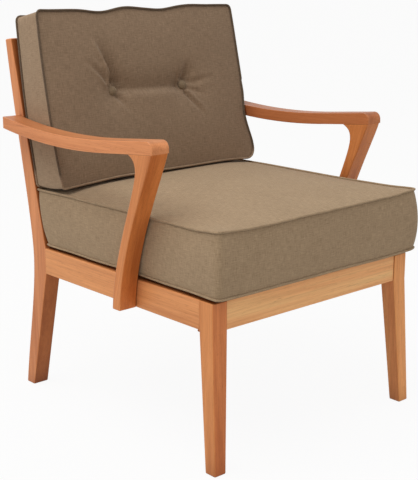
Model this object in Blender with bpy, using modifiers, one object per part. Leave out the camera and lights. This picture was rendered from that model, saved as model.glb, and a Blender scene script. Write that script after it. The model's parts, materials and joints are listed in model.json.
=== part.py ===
"""Open-arm wooden chair with a loose boxed seat cushion and a buttoned back cushion.

Metres, +Z up. The sitter faces -Y, and right and left are the sitter's own.
Depths below are measured from the front faces of the front legs, at the seat rails.
The finished chair's origin is on the floor, in the middle of its width and depth.
"""
import math

import bmesh
import bpy
from mathutils import Matrix, Vector

# Fits shared by every joint
GAP = 0.0003                    # clearance between two pieces that touch
EASED_EDGE = 0.0025             # rounding of the wooden edges
EASED_STEPS = 2
SHARP_ANGLE = math.radians(35.0)   # an edge bent more than this is eased
FLUSH_REACH = 0.001             # an edge this near to a flush joint is left sharp

# Seat frame
FRAME_WIDTH = 0.540             # over the outer faces of the legs
RAIL_TOP = 0.323
RAIL_HEIGHT = 0.056
RAIL_THICKNESS = 0.022
LEG_WIDTH = 0.036               # every leg, seen from the front
FRONT_LEG_DEPTH = 0.036         # at the rails
FRONT_FOOT_SIZE = 0.027         # square, on the floor
FRONT_FOOT_FORWARD = 0.015      # splay of the front legs
FRONT_FOOT_OUTWARD = 0.007
FRONT_RAIL_SETBACK = 0.003
SIDE_RAIL_LENGTH = 0.489        # from a front leg to a rear leg
REAR_RAIL_SETBACK = 0.013       # behind the front faces of the rear legs
TENON_LENGTH = 0.016
TENON_THICKNESS = 0.010
TENON_SHOULDER = 0.008          # above and below each tenon
TENON_ROOT = 0.006              # how far a tenon is let into its own rail

# Rear legs, one bent piece from the floor to the top of the back
REAR_LEG_DEPTH = 0.046          # at the rails
REAR_FOOT_DEPTH = 0.028
REAR_FOOT_BACK = 0.064          # sweep of the foot behind the rails
UPRIGHT_TOP = 0.750
UPRIGHT_TOP_DEPTH = 0.022
UPRIGHT_SETBACK = 0.099         # sweep of the top behind the rails
UPRIGHT_TOP_SLOPE = 0.003       # rise of the cut top towards the front
RAIL_SEAT_MARGIN = 0.004        # straight length of leg above and below a side rail
# The pulls of a sawn curve are shares of its run and of its rise.
REAR_FOOT_PULLS = ((0.35, 0.38), (1.0, 0.72))
UPRIGHT_REAR_PULLS = ((0.0, 0.18), (0.63, 0.58))

# Arms, arcs that sag between the support and the upright
ARM_WIDTH = 0.040
ARM_HEIGHT = 0.024
ARM_FRONT = 0.114
ARM_TAIL_LAP = 0.019            # behind the front of the upright that it lies on
ARM_LOW_DEPTH = 0.390           # where the arc is lowest
ARM_LOW_HEIGHT = 0.5565         # of the underside there
ARM_ARC_RADIUS = 1.45
ARM_STRAIGHT_DEPTH = 0.250      # in front of this the arm runs straight on
ARM_NOSE_RADIUS = 0.015
ARM_ARC_STEPS = 22
ARM_NOSE_STEPS = 6

# Arm supports, curved brackets lapped on the outside of the side rails
SUPPORT_FOOT_FRONT = 0.216
SUPPORT_FOOT_DEPTH = 0.023
SUPPORT_WAIST_REAR = 0.1635     # rear edge just below the heel
SUPPORT_WAIST_DROP = 0.031      # of the waist below the arm
SUPPORT_HEEL_REAR = 0.184       # rear end of the flared heel
SUPPORT_TOP_INSET = 0.002       # front edge behind the arm's nose
SUPPORT_FRONT_PULLS = ((0.045, 0.39), (0.85, 0.85))
SUPPORT_HEEL_PULLS = ((0.68, 0.22), (1.0, 0.46))
SUPPORT_REAR_PULLS = ((0.013, 0.15), (0.92, 0.59))

# Dowels and screws of the arms
DOWEL_RADIUS = 0.004
DOWEL_IN_ARM = 0.014
DOWEL_IN_SUPPORT = 0.022
DOWEL_SHARES = {"front": 0.42, "rear": 0.81}               # of a support's width below its heel
SCREW_RADIUS = 0.003
SCREW_HEAD_RADIUS = 0.0055
SCREW_HEAD_HEIGHT = 0.003
SCREW_HEAD_CHAMFER = 0.001
SCREW_BITE = 0.026              # length of screw in the arm or support
SCREW_POINT = 0.005
SUPPORT_SCREW_HEIGHTS = {"lower": 0.010, "upper": 0.025}   # above the rail's underside

# Back frame, leaning with the cushion
BACK_FOOT_LIFT = 0.0012         # lower rear edge of the back cushion above the seat's top seam
BACK_FOOT_PROUD = 0.0047        # and in front of the uprights
BACK_TOP_PROUD = 0.0107         # the same plane in front of the tops of the uprights
BACK_SLAT_COUNT = 5
BACK_SLAT_WIDTH = 0.042
BACK_SLAT_THICKNESS = 0.010
BACK_SLAT_PROUD = 0.009         # above the top rail
BACK_SLAT_INSET = 0.054         # middle of an outer slat from the upright
BACK_RAIL_THICKNESS = 0.020
BACK_RAIL_HEIGHT = 0.045
BACK_LOWER_RAIL_RISE = 0.006    # up the slope from the cushion's edge
BACK_TOP_RAIL_DROP = 0.0078     # down the slope from the tops of the uprights
BACK_TENON_LENGTH = 0.015
BACK_TENON_THICKNESS = 0.008

# Seat support
SLAT_COUNT = 5
SLAT_WIDTH = 0.062
SLAT_THICKNESS = 0.012
SLAT_PROUD = 0.005              # top of the slats above the rails
SLAT_END_PLAY = 0.001
SLAT_INSET = 0.009              # from the legs to the first and last slat
CLEAT_WIDTH = 0.016
CLEAT_HEIGHT = 0.015
BLOCK_REACH = 0.045             # corner blocks, along each rail
BLOCK_HEIGHT = 0.034
BLOCK_RISE = 0.008              # above the underside of the rails

# Cushions
SEAT_SIDE_PLAY = 0.002          # on each side, to the supports
SEAT_OVERHANG = 0.020           # in front of the front legs
SEAT_REAR_PLAY = 0.004          # to the rear legs
SEAT_BOXING = 0.122
SEAT_CROWN = 0.012
BACK_SIDE_INSET = 0.003         # on each side, from the outer faces of the uprights
BACK_HEIGHT = 0.3505
BACK_BOXING = 0.087             # at mid height
BACK_TAPER = 0.011              # thicker than that at the foot, and thinner at the head
BACK_FOOT_DIP = 0.008           # front of its foot below square to the back, down to the seat
BACK_CROWN = 0.012
CUSHION_DRAW_IN = 0.007         # of each free side between its corners
CROWN_POWER = 4                 # how squarely the crown rises from the seams
BOXING_BULGE = 0.003
SEAM_ROUND = 0.004
CUSHION_CELLS = {"across": 18, "along": 14, "thick": 4}
TUFT_SPREAD = 0.097             # of each button from the middle of the chair
TUFT_HEIGHT = 0.1765            # up the back cushion
TUFT_DEPTH = 0.008              # of a button's seat below the seams
TUFT_REACH = 0.055
BUTTON_RADIUS = 0.011
BUTTON_HEIGHT = 0.008
BUTTON_PROFILE = ((0.0, 1.0), (0.5, 0.9), (0.85, 0.6), (1.0, 0.2), (0.9, 0.0), (0.0, 0.0))
CORD_RADIUS = 0.0012

# Colours, linear
WOOD_TONES = {"leg": (0.50, 0.21, 0.085), "rail": (0.54, 0.24, 0.10), "arm": (0.52, 0.22, 0.09),
              "hidden": (0.50, 0.26, 0.12)}
FABRIC_COLOUR = (0.22, 0.155, 0.10)
BUTTON_COLOUR = (0.19, 0.13, 0.085)
STEEL_COLOUR = (0.55, 0.55, 0.56)
CORD_COLOUR = (0.55, 0.50, 0.42)

# Places that follow from the sizes
SIDES = {"right": -1, "left": 1}
OUTER_X = FRAME_WIDTH / 2
LEG_INNER_X = OUTER_X - LEG_WIDTH
RAIL_INNER_X = OUTER_X - RAIL_THICKNESS
ARM_INNER_X = OUTER_X + GAP
ARM_OUTER_X = ARM_INNER_X + ARM_WIDTH
RAIL_BOTTOM = RAIL_TOP - RAIL_HEIGHT
REAR_LEG_FRONT = FRONT_LEG_DEPTH + SIDE_RAIL_LENGTH
UPRIGHT_TOP_FRONT = REAR_LEG_FRONT + UPRIGHT_SETBACK
UPRIGHT_TOP_REAR = UPRIGHT_TOP_FRONT + UPRIGHT_TOP_DEPTH
BEND_HEIGHT = RAIL_TOP + RAIL_SEAT_MARGIN
UPRIGHT_SLOPE = UPRIGHT_SETBACK / (UPRIGHT_TOP + UPRIGHT_TOP_SLOPE - BEND_HEIGHT)
SLAT_TOP = RAIL_TOP + SLAT_PROUD
SEAT_WIDTH = FRAME_WIDTH - 2 * SEAT_SIDE_PLAY
BACK_WIDTH = FRAME_WIDTH - 2 * BACK_SIDE_INSET
MIDDLE_DEPTH = (UPRIGHT_TOP_REAR - SEAT_OVERHANG) / 2


def upright_front(height):
    """Depth of the front of an upright at a height above the rails."""
    return REAR_LEG_FRONT + UPRIGHT_SLOPE * (height - BEND_HEIGHT)


# The back leans with the uprights that it is let into
SEAT_TOP_SEAM = SLAT_TOP + GAP + SEAT_BOXING
BACK_FOOT_HEIGHT = SEAT_TOP_SEAM + BACK_FOOT_LIFT
BACK_FOOT_DEPTH = upright_front(BACK_FOOT_HEIGHT) - BACK_FOOT_PROUD
BACK_RISE = UPRIGHT_TOP - BACK_FOOT_HEIGHT
BACK_RUN = upright_front(UPRIGHT_TOP) - BACK_TOP_PROUD - BACK_FOOT_DEPTH
BACK_RECLINE = math.atan2(BACK_RUN, BACK_RISE)
BACK_TOP_RAIL_RISE = math.hypot(BACK_RUN, BACK_RISE) - BACK_TOP_RAIL_DROP - BACK_RAIL_HEIGHT
BACK_RAIL_RISE = {"lower": BACK_LOWER_RAIL_RISE, "top": BACK_TOP_RAIL_RISE}
BACK_SLAT_LENGTH = BACK_TOP_RAIL_RISE + BACK_RAIL_HEIGHT + BACK_SLAT_PROUD


# Scene, collections and frames of reference

def new_collection(name):
    made = bpy.data.collections.new(name)
    bpy.context.scene.collection.children.link(made)
    return made


def new_empty(name, parent, location, rotation=(0.0, 0.0, 0.0)):
    empty = bpy.data.objects.new(name, None)
    bpy.context.scene.collection.objects.link(empty)
    empty.parent = parent
    empty.location = location
    empty.rotation_euler = rotation
    return empty


for old in list(bpy.data.objects):
    bpy.data.objects.remove(old, do_unlink=True)
PARTS = new_collection("open_arm_chair")
CUTTERS = new_collection("cutters")
CHAIR = new_empty("chair_frame", None, (0.0, -MIDDLE_DEPTH, 0.0))
# In the back frame +Z runs up the slope and +Y points out of the back of the cushion.
BACK = new_empty("back_frame", CHAIR, (0.0, BACK_FOOT_DEPTH, BACK_FOOT_HEIGHT), (-BACK_RECLINE, 0.0, 0.0))


# Building helpers

def finish_material(name, colour, roughness, metallic=0.0):
    material = bpy.data.materials.new(name)
    material.use_nodes = True
    shader = material.node_tree.nodes["Principled BSDF"]
    shader.inputs["Base Color"].default_value = (*colour, 1.0)
    shader.inputs["Roughness"].default_value = roughness
    shader.inputs["Metallic"].default_value = metallic
    return material


def add_part(name, mesh, colour, roughness=0.45, metallic=0.0, frame=CHAIR):
    part = bpy.data.objects.new(name, mesh)
    part.data.materials.clear()
    part.data.materials.append(finish_material(name, colour, roughness, metallic))
    part.parent = frame
    PARTS.objects.link(part)
    return part


def add_cutter(mesh, frame=CHAIR):
    cutter = bpy.data.objects.new("cutter", mesh)
    cutter.parent = frame
    cutter.hide_render = True
    cutter.display_type = "WIRE"
    CUTTERS.objects.link(cutter)
    return cutter


def combine(part, operation, mesh, frame=CHAIR):
    step = part.modifiers.new(operation.lower(), "BOOLEAN")
    step.operation = operation
    step.solver = "EXACT"
    step.object = add_cutter(mesh, frame)


def ease_edges(part, width=EASED_EDGE, steps=EASED_STEPS):
    bevel = part.modifiers.new("eased_edges", "BEVEL")
    bevel.width = width
    bevel.segments = steps
    bevel.limit_method = "ANGLE"
    bevel.angle_limit = SHARP_ANGLE


def ease_marked_edges(part):
    bevel = part.modifiers.new("eased_edges", "BEVEL")
    bevel.width = EASED_EDGE
    bevel.segments = EASED_STEPS
    bevel.limit_method = "WEIGHT"


def ease_free_edges(part, meets_flush):
    """Rounds the sharp edges of a piece, apart from those that lie in a flush joint.

    meets_flush takes the middle of an edge and says whether another piece lies flush there.
    """
    shape = bmesh.new()
    shape.from_mesh(part.data)
    weight = shape.edges.layers.float.new("bevel_weight_edge")
    for edge in shape.edges:
        middle = (edge.verts[0].co + edge.verts[1].co) / 2
        is_sharp = edge.calc_face_angle(0.0) > SHARP_ANGLE
        edge[weight] = 1.0 if is_sharp and not meets_flush(middle) else 0.0
    shape.to_mesh(part.data)
    shape.free()
    ease_marked_edges(part)


def to_mesh(shape, name):
    mesh = bpy.data.meshes.new(name)
    shape.to_mesh(mesh)
    shape.free()
    return mesh


def box_mesh(name, low, high, margin=0.0):
    shape = bmesh.new()
    bmesh.ops.create_cube(shape, size=1.0)
    grow = Vector((margin, margin, margin))
    low = Vector(low) - grow
    high = Vector(high) + grow
    bmesh.ops.scale(shape, vec=high - low, verts=shape.verts)
    bmesh.ops.translate(shape, vec=(low + high) / 2, verts=shape.verts)
    return to_mesh(shape, name)


def rod_mesh(name, start, end, radius, sides=16):
    start = Vector(start)
    run = Vector(end) - start
    shape = bmesh.new()
    bmesh.ops.create_cone(shape, cap_ends=True, segments=sides, radius1=radius, radius2=radius,
                          depth=run.length)
    turn = run.to_track_quat("Z", "Y").to_matrix().to_4x4()
    bmesh.ops.transform(shape, matrix=Matrix.Translation(start + run / 2) @ turn, verts=shape.verts)
    return to_mesh(shape, name)


def outline_mesh(name, outline, thickness, placing):
    """An outline filled and extruded both ways from its own plane, then put in place."""
    sketch = bpy.data.curves.new(name, "CURVE")
    sketch.dimensions = "2D"
    sketch.fill_mode = "BOTH"
    sketch.extrude = thickness / 2
    spline = sketch.splines.new("POLY")
    spline.points.add(len(outline) - 1)
    for point, (across, up) in zip(spline.points, outline):
        point.co = (across, up, 0.0, 1.0)
    spline.use_cyclic_u = True
    holder = bpy.data.objects.new(name, sketch)
    bpy.context.scene.collection.objects.link(holder)
    graph = bpy.context.evaluated_depsgraph_get()
    mesh = bpy.data.meshes.new_from_object(holder.evaluated_get(graph))
    bpy.data.objects.remove(holder, do_unlink=True)
    shape = bmesh.new()
    shape.from_mesh(mesh)
    bmesh.ops.remove_doubles(shape, verts=shape.verts, dist=0.00001)
    bmesh.ops.dissolve_limit(shape, angle_limit=0.001, verts=shape.verts, edges=shape.edges)
    bmesh.ops.recalc_face_normals(shape, faces=shape.faces)
    bmesh.ops.transform(shape, matrix=placing, verts=shape.verts)
    shape.to_mesh(mesh)
    shape.free()
    return mesh


def side_mesh(name, outline, x_middle, thickness):
    """A solid from an outline of (depth, height) points, seen from the side."""
    placing = Matrix(((0, 0, 1, x_middle), (1, 0, 0, 0), (0, 1, 0, 0), (0, 0, 0, 1)))
    return outline_mesh(name, outline, thickness, placing)


def turned_mesh(name, profile, sides=16):
    """A solid of revolution about Z, from (radius, height) points listed from the top down."""
    shape = bmesh.new()
    points = [shape.verts.new((radius, 0.0, height)) for radius, height in profile]
    for upper, lower in zip(points, points[1:]):
        shape.edges.new((upper, lower))
    holder = bpy.data.objects.new(name, to_mesh(shape, name))
    bpy.context.scene.collection.objects.link(holder)
    turn = holder.modifiers.new("turn", "SCREW")
    turn.steps = sides
    turn.render_steps = sides
    turn.use_merge_vertices = True
    turn.merge_threshold = 0.00001
    graph = bpy.context.evaluated_depsgraph_get()
    mesh = bpy.data.meshes.new_from_object(holder.evaluated_get(graph))
    bpy.data.objects.remove(holder, do_unlink=True)
    return mesh


def sweep(start, end, pulls, count=12):
    """Points along a cubic curve, without its last point."""
    corners = [start]
    for run_share, rise_share in pulls:
        run = run_share * (end[0] - start[0])
        rise = rise_share * (end[1] - start[1])
        corners.append((start[0] + run, start[1] + rise))
    corners.append(end)
    points = []
    for index in range(count):
        t = index / count
        weights = ((1 - t) ** 3, 3 * t * (1 - t) ** 2, 3 * t * t * (1 - t), t ** 3)
        points.append(tuple(sum(w * c[axis] for w, c in zip(weights, corners)) for axis in (0, 1)))
    return points


def x_span(sign, inner, outer):
    return (inner, outer) if sign > 0 else (-outer, -inner)


# Legs

def front_leg(side, sign):
    """A square leg, straight beside the rails and tapered and splayed below them."""
    x_low, x_high = x_span(sign, LEG_INNER_X, OUTER_X)
    mesh = box_mesh("front_leg", (x_low, 0.0, 0.0), (x_high, FRONT_LEG_DEPTH, RAIL_TOP))
    shape = bmesh.new()
    shape.from_mesh(mesh)
    bmesh.ops.bisect_plane(shape, geom=shape.verts[:] + shape.edges[:] + shape.faces[:],
                           plane_co=(0.0, 0.0, RAIL_BOTTOM), plane_no=(0.0, 0.0, 1.0))
    foot_outer = OUTER_X + FRONT_FOOT_OUTWARD
    for corner in shape.verts:
        if corner.co.z < RAIL_BOTTOM / 2:
            is_outer = abs(corner.co.x) > (LEG_INNER_X + OUTER_X) / 2
            is_rear = corner.co.y > FRONT_LEG_DEPTH / 2
            corner.co.x = sign * (foot_outer if is_outer else foot_outer - FRONT_FOOT_SIZE)
            corner.co.y = (FRONT_FOOT_SIZE if is_rear else 0.0) - FRONT_FOOT_FORWARD
    shape.to_mesh(mesh)
    shape.free()
    leg = add_part("front_leg_" + side, mesh, WOOD_TONES["leg"])
    rail_face = FRONT_LEG_DEPTH - FLUSH_REACH
    ease_free_edges(leg, lambda middle: (middle.y > rail_face and middle.z > RAIL_BOTTOM
                                         and abs(middle.x) > RAIL_INNER_X))
    combine(leg, "DIFFERENCE", box_mesh("mortise", *side_tenon(sign, "front"), margin=GAP))
    combine(leg, "DIFFERENCE", box_mesh("mortise", *cross_tenon(sign, "front"), margin=GAP))


def rear_leg_outline():
    foot_front = REAR_LEG_FRONT + REAR_FOOT_BACK
    foot_rear = foot_front + REAR_FOOT_DEPTH
    waist = (REAR_LEG_FRONT + REAR_LEG_DEPTH, (RAIL_BOTTOM + RAIL_TOP) / 2)
    top_rear = (UPRIGHT_TOP_REAR, UPRIGHT_TOP)
    outline = sweep((foot_rear, 0.0), waist, REAR_FOOT_PULLS)
    outline += sweep(waist, top_rear, UPRIGHT_REAR_PULLS)
    outline += [top_rear, (UPRIGHT_TOP_FRONT, UPRIGHT_TOP + UPRIGHT_TOP_SLOPE)]
    outline.append((REAR_LEG_FRONT, BEND_HEIGHT))
    outline.append((REAR_LEG_FRONT, RAIL_BOTTOM - RAIL_SEAT_MARGIN))
    outline.append((foot_front, 0.0))
    return outline


def rear_leg(side, sign):
    mesh = side_mesh("rear_leg", rear_leg_outline(), sign * (OUTER_X - LEG_WIDTH / 2), LEG_WIDTH)
    leg = add_part("rear_leg_" + side, mesh, WOOD_TONES["leg"])
    rail_face = REAR_LEG_FRONT + FLUSH_REACH
    ease_free_edges(leg, lambda middle: middle.y < rail_face and RAIL_BOTTOM < middle.z < RAIL_TOP)
    combine(leg, "DIFFERENCE", box_mesh("mortise", *side_tenon(sign, "rear"), margin=GAP))
    combine(leg, "DIFFERENCE", box_mesh("mortise", *cross_tenon(sign, "rear"), margin=GAP))
    for level in BACK_RAIL_RISE:
        combine(leg, "DIFFERENCE", box_mesh("mortise", *back_tenon(sign, level), margin=GAP), BACK)
    start, end = arm_screw_line(sign)
    combine(leg, "DIFFERENCE", rod_mesh("screw_hole", start, end, SCREW_RADIUS + GAP))


# Seat rails

def side_tenon(sign, end):
    """Corners of the tenon of a side rail in a front or rear leg."""
    middle = OUTER_X - RAIL_THICKNESS / 2
    x_low, x_high = x_span(sign, middle - TENON_THICKNESS / 2, middle + TENON_THICKNESS / 2)
    if end == "front":
        y_low, y_high = FRONT_LEG_DEPTH - TENON_LENGTH, FRONT_LEG_DEPTH + TENON_ROOT
    else:
        y_low, y_high = REAR_LEG_FRONT - TENON_ROOT, REAR_LEG_FRONT + TENON_LENGTH
    return (x_low, y_low, RAIL_BOTTOM + TENON_SHOULDER), (x_high, y_high, RAIL_TOP - TENON_SHOULDER)


def cross_rail_front(end):
    return FRONT_RAIL_SETBACK if end == "front" else REAR_LEG_FRONT + REAR_RAIL_SETBACK


def cross_tenon(sign, end):
    """Corners of the tenon of the front or rear rail in a leg."""
    x_low, x_high = x_span(sign, LEG_INNER_X - TENON_ROOT, LEG_INNER_X + TENON_LENGTH)
    y_low = cross_rail_front(end) + (RAIL_THICKNESS - TENON_THICKNESS) / 2
    low = (x_low, y_low, RAIL_BOTTOM + TENON_SHOULDER)
    return low, (x_high, y_low + TENON_THICKNESS, RAIL_TOP - TENON_SHOULDER)


def ease_long_edges(mesh, along):
    """Marks the edges that run along one axis, so that only those are rounded."""
    shape = bmesh.new()
    shape.from_mesh(mesh)
    weight = shape.edges.layers.float.new("bevel_weight_edge")
    for edge in shape.edges:
        run = (edge.verts[1].co - edge.verts[0].co).normalized()
        edge[weight] = 1.0 if abs(run[along]) > 0.99 else 0.0
    shape.to_mesh(mesh)
    shape.free()


def add_rail(name, low, high, along, colour, frame=CHAIR):
    mesh = box_mesh(name, low, high)
    ease_long_edges(mesh, along)
    rail = add_part(name, mesh, colour, frame=frame)
    ease_marked_edges(rail)
    return rail


def side_rail(side, sign):
    x_low, x_high = x_span(sign, RAIL_INNER_X, OUTER_X)
    rail = add_rail("side_rail_" + side, (x_low, FRONT_LEG_DEPTH + GAP, RAIL_BOTTOM),
                    (x_high, REAR_LEG_FRONT - GAP, RAIL_TOP), 1, WOOD_TONES["rail"])
    for end in ("front", "rear"):
        combine(rail, "UNION", box_mesh("tenon", *side_tenon(sign, end)))
    for level in SUPPORT_SCREW_HEIGHTS:
        start, end = support_screw_line(sign, level)
        combine(rail, "DIFFERENCE", rod_mesh("screw_hole", start, end, SCREW_RADIUS + GAP))


def cross_rail(end):
    reach = LEG_INNER_X - GAP
    front = cross_rail_front(end)
    rail = add_rail(end + "_rail", (-reach, front, RAIL_BOTTOM), (reach, front + RAIL_THICKNESS, RAIL_TOP), 0,
                    WOOD_TONES["rail"])
    for sign in SIDES.values():
        combine(rail, "UNION", box_mesh("tenon", *cross_tenon(sign, end)))


# Arms and their supports

def arm_underside(depth):
    """Height of the underside: an arc, carried straight on in front."""
    bend = max(depth, ARM_STRAIGHT_DEPTH)
    run = bend - ARM_LOW_DEPTH
    drop = math.sqrt(ARM_ARC_RADIUS ** 2 - run ** 2)
    return ARM_LOW_HEIGHT + ARM_ARC_RADIUS - drop + (depth - bend) * run / drop


def arm_crossing():
    """Depth at which the middle of an arm meets the front of its upright, closed in on in a few steps."""
    depth = REAR_LEG_FRONT
    for step in range(6):
        depth = upright_front(arm_underside(depth) + ARM_HEIGHT / 2)
    return depth


def arm_outline():
    """The arc of the underside, the square tail, the arc of the top and the rounded nose."""
    steps = ARM_ARC_STEPS
    nose = ARM_FRONT + ARM_NOSE_RADIUS
    tail = arm_crossing() + ARM_TAIL_LAP
    outline = []
    for index in range(steps + 1):
        depth = ARM_FRONT + (tail - ARM_FRONT) * index / steps
        outline.append((depth, arm_underside(depth)))
    for index in range(steps + 1):
        depth = tail + (nose - tail) * index / steps
        outline.append((depth, arm_underside(depth) + ARM_HEIGHT))
    nose_top = outline[-1][1]
    for index in range(1, ARM_NOSE_STEPS + 1):
        angle = math.pi / 2 * (1 + index / ARM_NOSE_STEPS)
        outline.append((nose + ARM_NOSE_RADIUS * math.cos(angle),
                        nose_top + ARM_NOSE_RADIUS * (math.sin(angle) - 1.0)))
    return outline


def arm(side, sign):
    mesh = side_mesh("arm", arm_outline(), sign * (ARM_INNER_X + ARM_WIDTH / 2), ARM_WIDTH)
    piece = add_part("arm_" + side, mesh, WOOD_TONES["arm"])
    ease_free_edges(piece, lambda middle: (middle.y < SUPPORT_HEEL_REAR
                                           and middle.z < arm_underside(middle.y) + FLUSH_REACH))
    start, end = arm_screw_line(sign)
    combine(piece, "DIFFERENCE", rod_mesh("screw_hole", start, end, SCREW_RADIUS + GAP))
    for place in DOWEL_SHARES:
        low, high = dowel_line(sign, place, GAP)
        combine(piece, "DIFFERENCE", rod_mesh("dowel_hole", low, high, DOWEL_RADIUS + GAP))


def support_outline():
    """Foot on the rail, front edge up to the arm, the arm's own arc, the heel and the rear edge."""
    top_front = ARM_FRONT + SUPPORT_TOP_INSET
    foot_front = (SUPPORT_FOOT_FRONT, RAIL_BOTTOM)
    foot_rear = (SUPPORT_FOOT_FRONT + SUPPORT_FOOT_DEPTH, RAIL_BOTTOM)
    heel = (SUPPORT_HEEL_REAR, arm_underside(SUPPORT_HEEL_REAR) - GAP)
    waist = (SUPPORT_WAIST_REAR, arm_underside(SUPPORT_WAIST_REAR) - SUPPORT_WAIST_DROP)
    outline = sweep(foot_front, (top_front, arm_underside(top_front) - GAP), SUPPORT_FRONT_PULLS, count=16)
    steps = 4
    for index in range(steps):
        depth = top_front + (SUPPORT_HEEL_REAR - top_front) * index / steps
        outline.append((depth, arm_underside(depth) - GAP))
    outline += sweep(heel, waist, SUPPORT_HEEL_PULLS, count=6)
    outline += sweep(waist, foot_rear, SUPPORT_REAR_PULLS, count=16)
    outline.append(foot_rear)
    return outline


def arm_support(side, sign):
    mesh = side_mesh("arm_support", support_outline(), sign * (ARM_INNER_X + ARM_WIDTH / 2), ARM_WIDTH)
    piece = add_part("arm_support_" + side, mesh, WOOD_TONES["arm"])
    ease_free_edges(piece, lambda middle: middle.z > arm_underside(middle.y) - FLUSH_REACH)
    for level in SUPPORT_SCREW_HEIGHTS:
        start, end = support_screw_line(sign, level)
        combine(piece, "DIFFERENCE", rod_mesh("screw_hole", start, end, SCREW_RADIUS + GAP))
    for place in DOWEL_SHARES:
        low, high = dowel_line(sign, place, GAP)
        combine(piece, "DIFFERENCE", rod_mesh("dowel_hole", low, high, DOWEL_RADIUS + GAP))


def dowel_line(sign, place, play=0.0):
    x = sign * (ARM_INNER_X + ARM_WIDTH / 2)
    top_front = ARM_FRONT + SUPPORT_TOP_INSET
    depth = top_front + DOWEL_SHARES[place] * (SUPPORT_WAIST_REAR - top_front)
    seam = arm_underside(depth)
    return (x, depth, seam - DOWEL_IN_SUPPORT - play), (x, depth, seam + DOWEL_IN_ARM + play)


def arm_dowel(side, sign, place):
    low, high = dowel_line(sign, place)
    mesh = rod_mesh("dowel", low, high, DOWEL_RADIUS)
    add_part("arm_dowel_%s_%s" % (place, side), mesh, WOOD_TONES["hidden"])


def arm_screw_line(sign):
    """From inside an upright to the bottom of the screw's hole in the arm."""
    depth = arm_crossing() + ARM_TAIL_LAP / 2
    height = arm_underside(depth) + ARM_HEIGHT / 2
    start = sign * (LEG_INNER_X - SCREW_HEAD_HEIGHT)
    return (start, depth, height), (sign * (ARM_INNER_X + SCREW_BITE + GAP), depth, height)


def support_screw_line(sign, level):
    depth = SUPPORT_FOOT_FRONT + SUPPORT_FOOT_DEPTH / 2
    height = RAIL_BOTTOM + SUPPORT_SCREW_HEIGHTS[level]
    start = sign * (RAIL_INNER_X - SCREW_HEAD_HEIGHT)
    return (start, depth, height), (sign * (ARM_INNER_X + SCREW_BITE + GAP), depth, height)


def wood_screw(name, line):
    """A pan-headed screw whose head bears on the inner face that it is driven from."""
    start, end = (Vector(point) for point in line)
    run = end - start
    head_top = GAP
    neck = head_top - SCREW_HEAD_HEIGHT
    tip = GAP - run.length
    profile = [(0.0, head_top), (SCREW_HEAD_RADIUS - SCREW_HEAD_CHAMFER, head_top),
               (SCREW_HEAD_RADIUS, head_top - SCREW_HEAD_CHAMFER), (SCREW_HEAD_RADIUS, neck),
               (SCREW_RADIUS, neck), (SCREW_RADIUS, tip + SCREW_POINT), (0.0, tip)]
    screw = add_part(name, turned_mesh(name, profile), STEEL_COLOUR, roughness=0.3, metallic=1.0)
    screw.location = start
    screw.rotation_euler = (-run).to_track_quat("Z", "Y").to_euler()


# Back frame

def back_rail_corners(level):
    low_y = BACK_SLAT_THICKNESS + 2 * GAP
    low_z = BACK_RAIL_RISE[level]
    reach = LEG_INNER_X - GAP
    return (-reach, low_y, low_z), (reach, low_y + BACK_RAIL_THICKNESS, low_z + BACK_RAIL_HEIGHT)


def back_tenon(sign, level):
    low, high = back_rail_corners(level)
    x_low, x_high = x_span(sign, LEG_INNER_X - TENON_ROOT, LEG_INNER_X + BACK_TENON_LENGTH)
    middle = (low[1] + high[1]) / 2
    return ((x_low, middle - BACK_TENON_THICKNESS / 2, low[2] + TENON_SHOULDER),
            (x_high, middle + BACK_TENON_THICKNESS / 2, high[2] - TENON_SHOULDER))


def back_rail(level):
    low, high = back_rail_corners(level)
    rail = add_rail("back_%s_rail" % level, low, high, 0, WOOD_TONES["rail"], BACK)
    for sign in SIDES.values():
        combine(rail, "UNION", box_mesh("tenon", *back_tenon(sign, level)), BACK)


def back_slat(index):
    middle = (LEG_INNER_X - BACK_SLAT_INSET) * (2 * index / (BACK_SLAT_COUNT - 1) - 1)
    low = (middle - BACK_SLAT_WIDTH / 2, GAP, 0.0)
    high = (middle + BACK_SLAT_WIDTH / 2, GAP + BACK_SLAT_THICKNESS, BACK_SLAT_LENGTH)
    mesh = box_mesh("back_slat", low, high)
    ease_edges(add_part("back_slat_%d" % (index + 1), mesh, WOOD_TONES["rail"], frame=BACK))


# Seat support

def seat_slat(index):
    first = FRONT_LEG_DEPTH + SLAT_INSET
    pitch = (REAR_LEG_FRONT - SLAT_INSET - first - SLAT_WIDTH) / (SLAT_COUNT - 1)
    reach = RAIL_INNER_X - SLAT_END_PLAY
    start = first + pitch * index
    mesh = box_mesh("seat_slat", (-reach, start, SLAT_TOP - SLAT_THICKNESS),
                    (reach, start + SLAT_WIDTH, SLAT_TOP))
    ease_edges(add_part("seat_slat_%d" % (index + 1), mesh, WOOD_TONES["hidden"]))


def slat_cleat(side, sign):
    x_low, x_high = x_span(sign, RAIL_INNER_X - GAP - CLEAT_WIDTH, RAIL_INNER_X - GAP)
    top = SLAT_TOP - SLAT_THICKNESS - GAP
    clear = BLOCK_REACH + SLAT_INSET
    mesh = box_mesh("slat_cleat", (x_low, FRONT_LEG_DEPTH + clear, top - CLEAT_HEIGHT),
                    (x_high, REAR_LEG_FRONT - clear, top))
    ease_edges(add_part("slat_cleat_" + side, mesh, WOOD_TONES["hidden"]))


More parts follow.
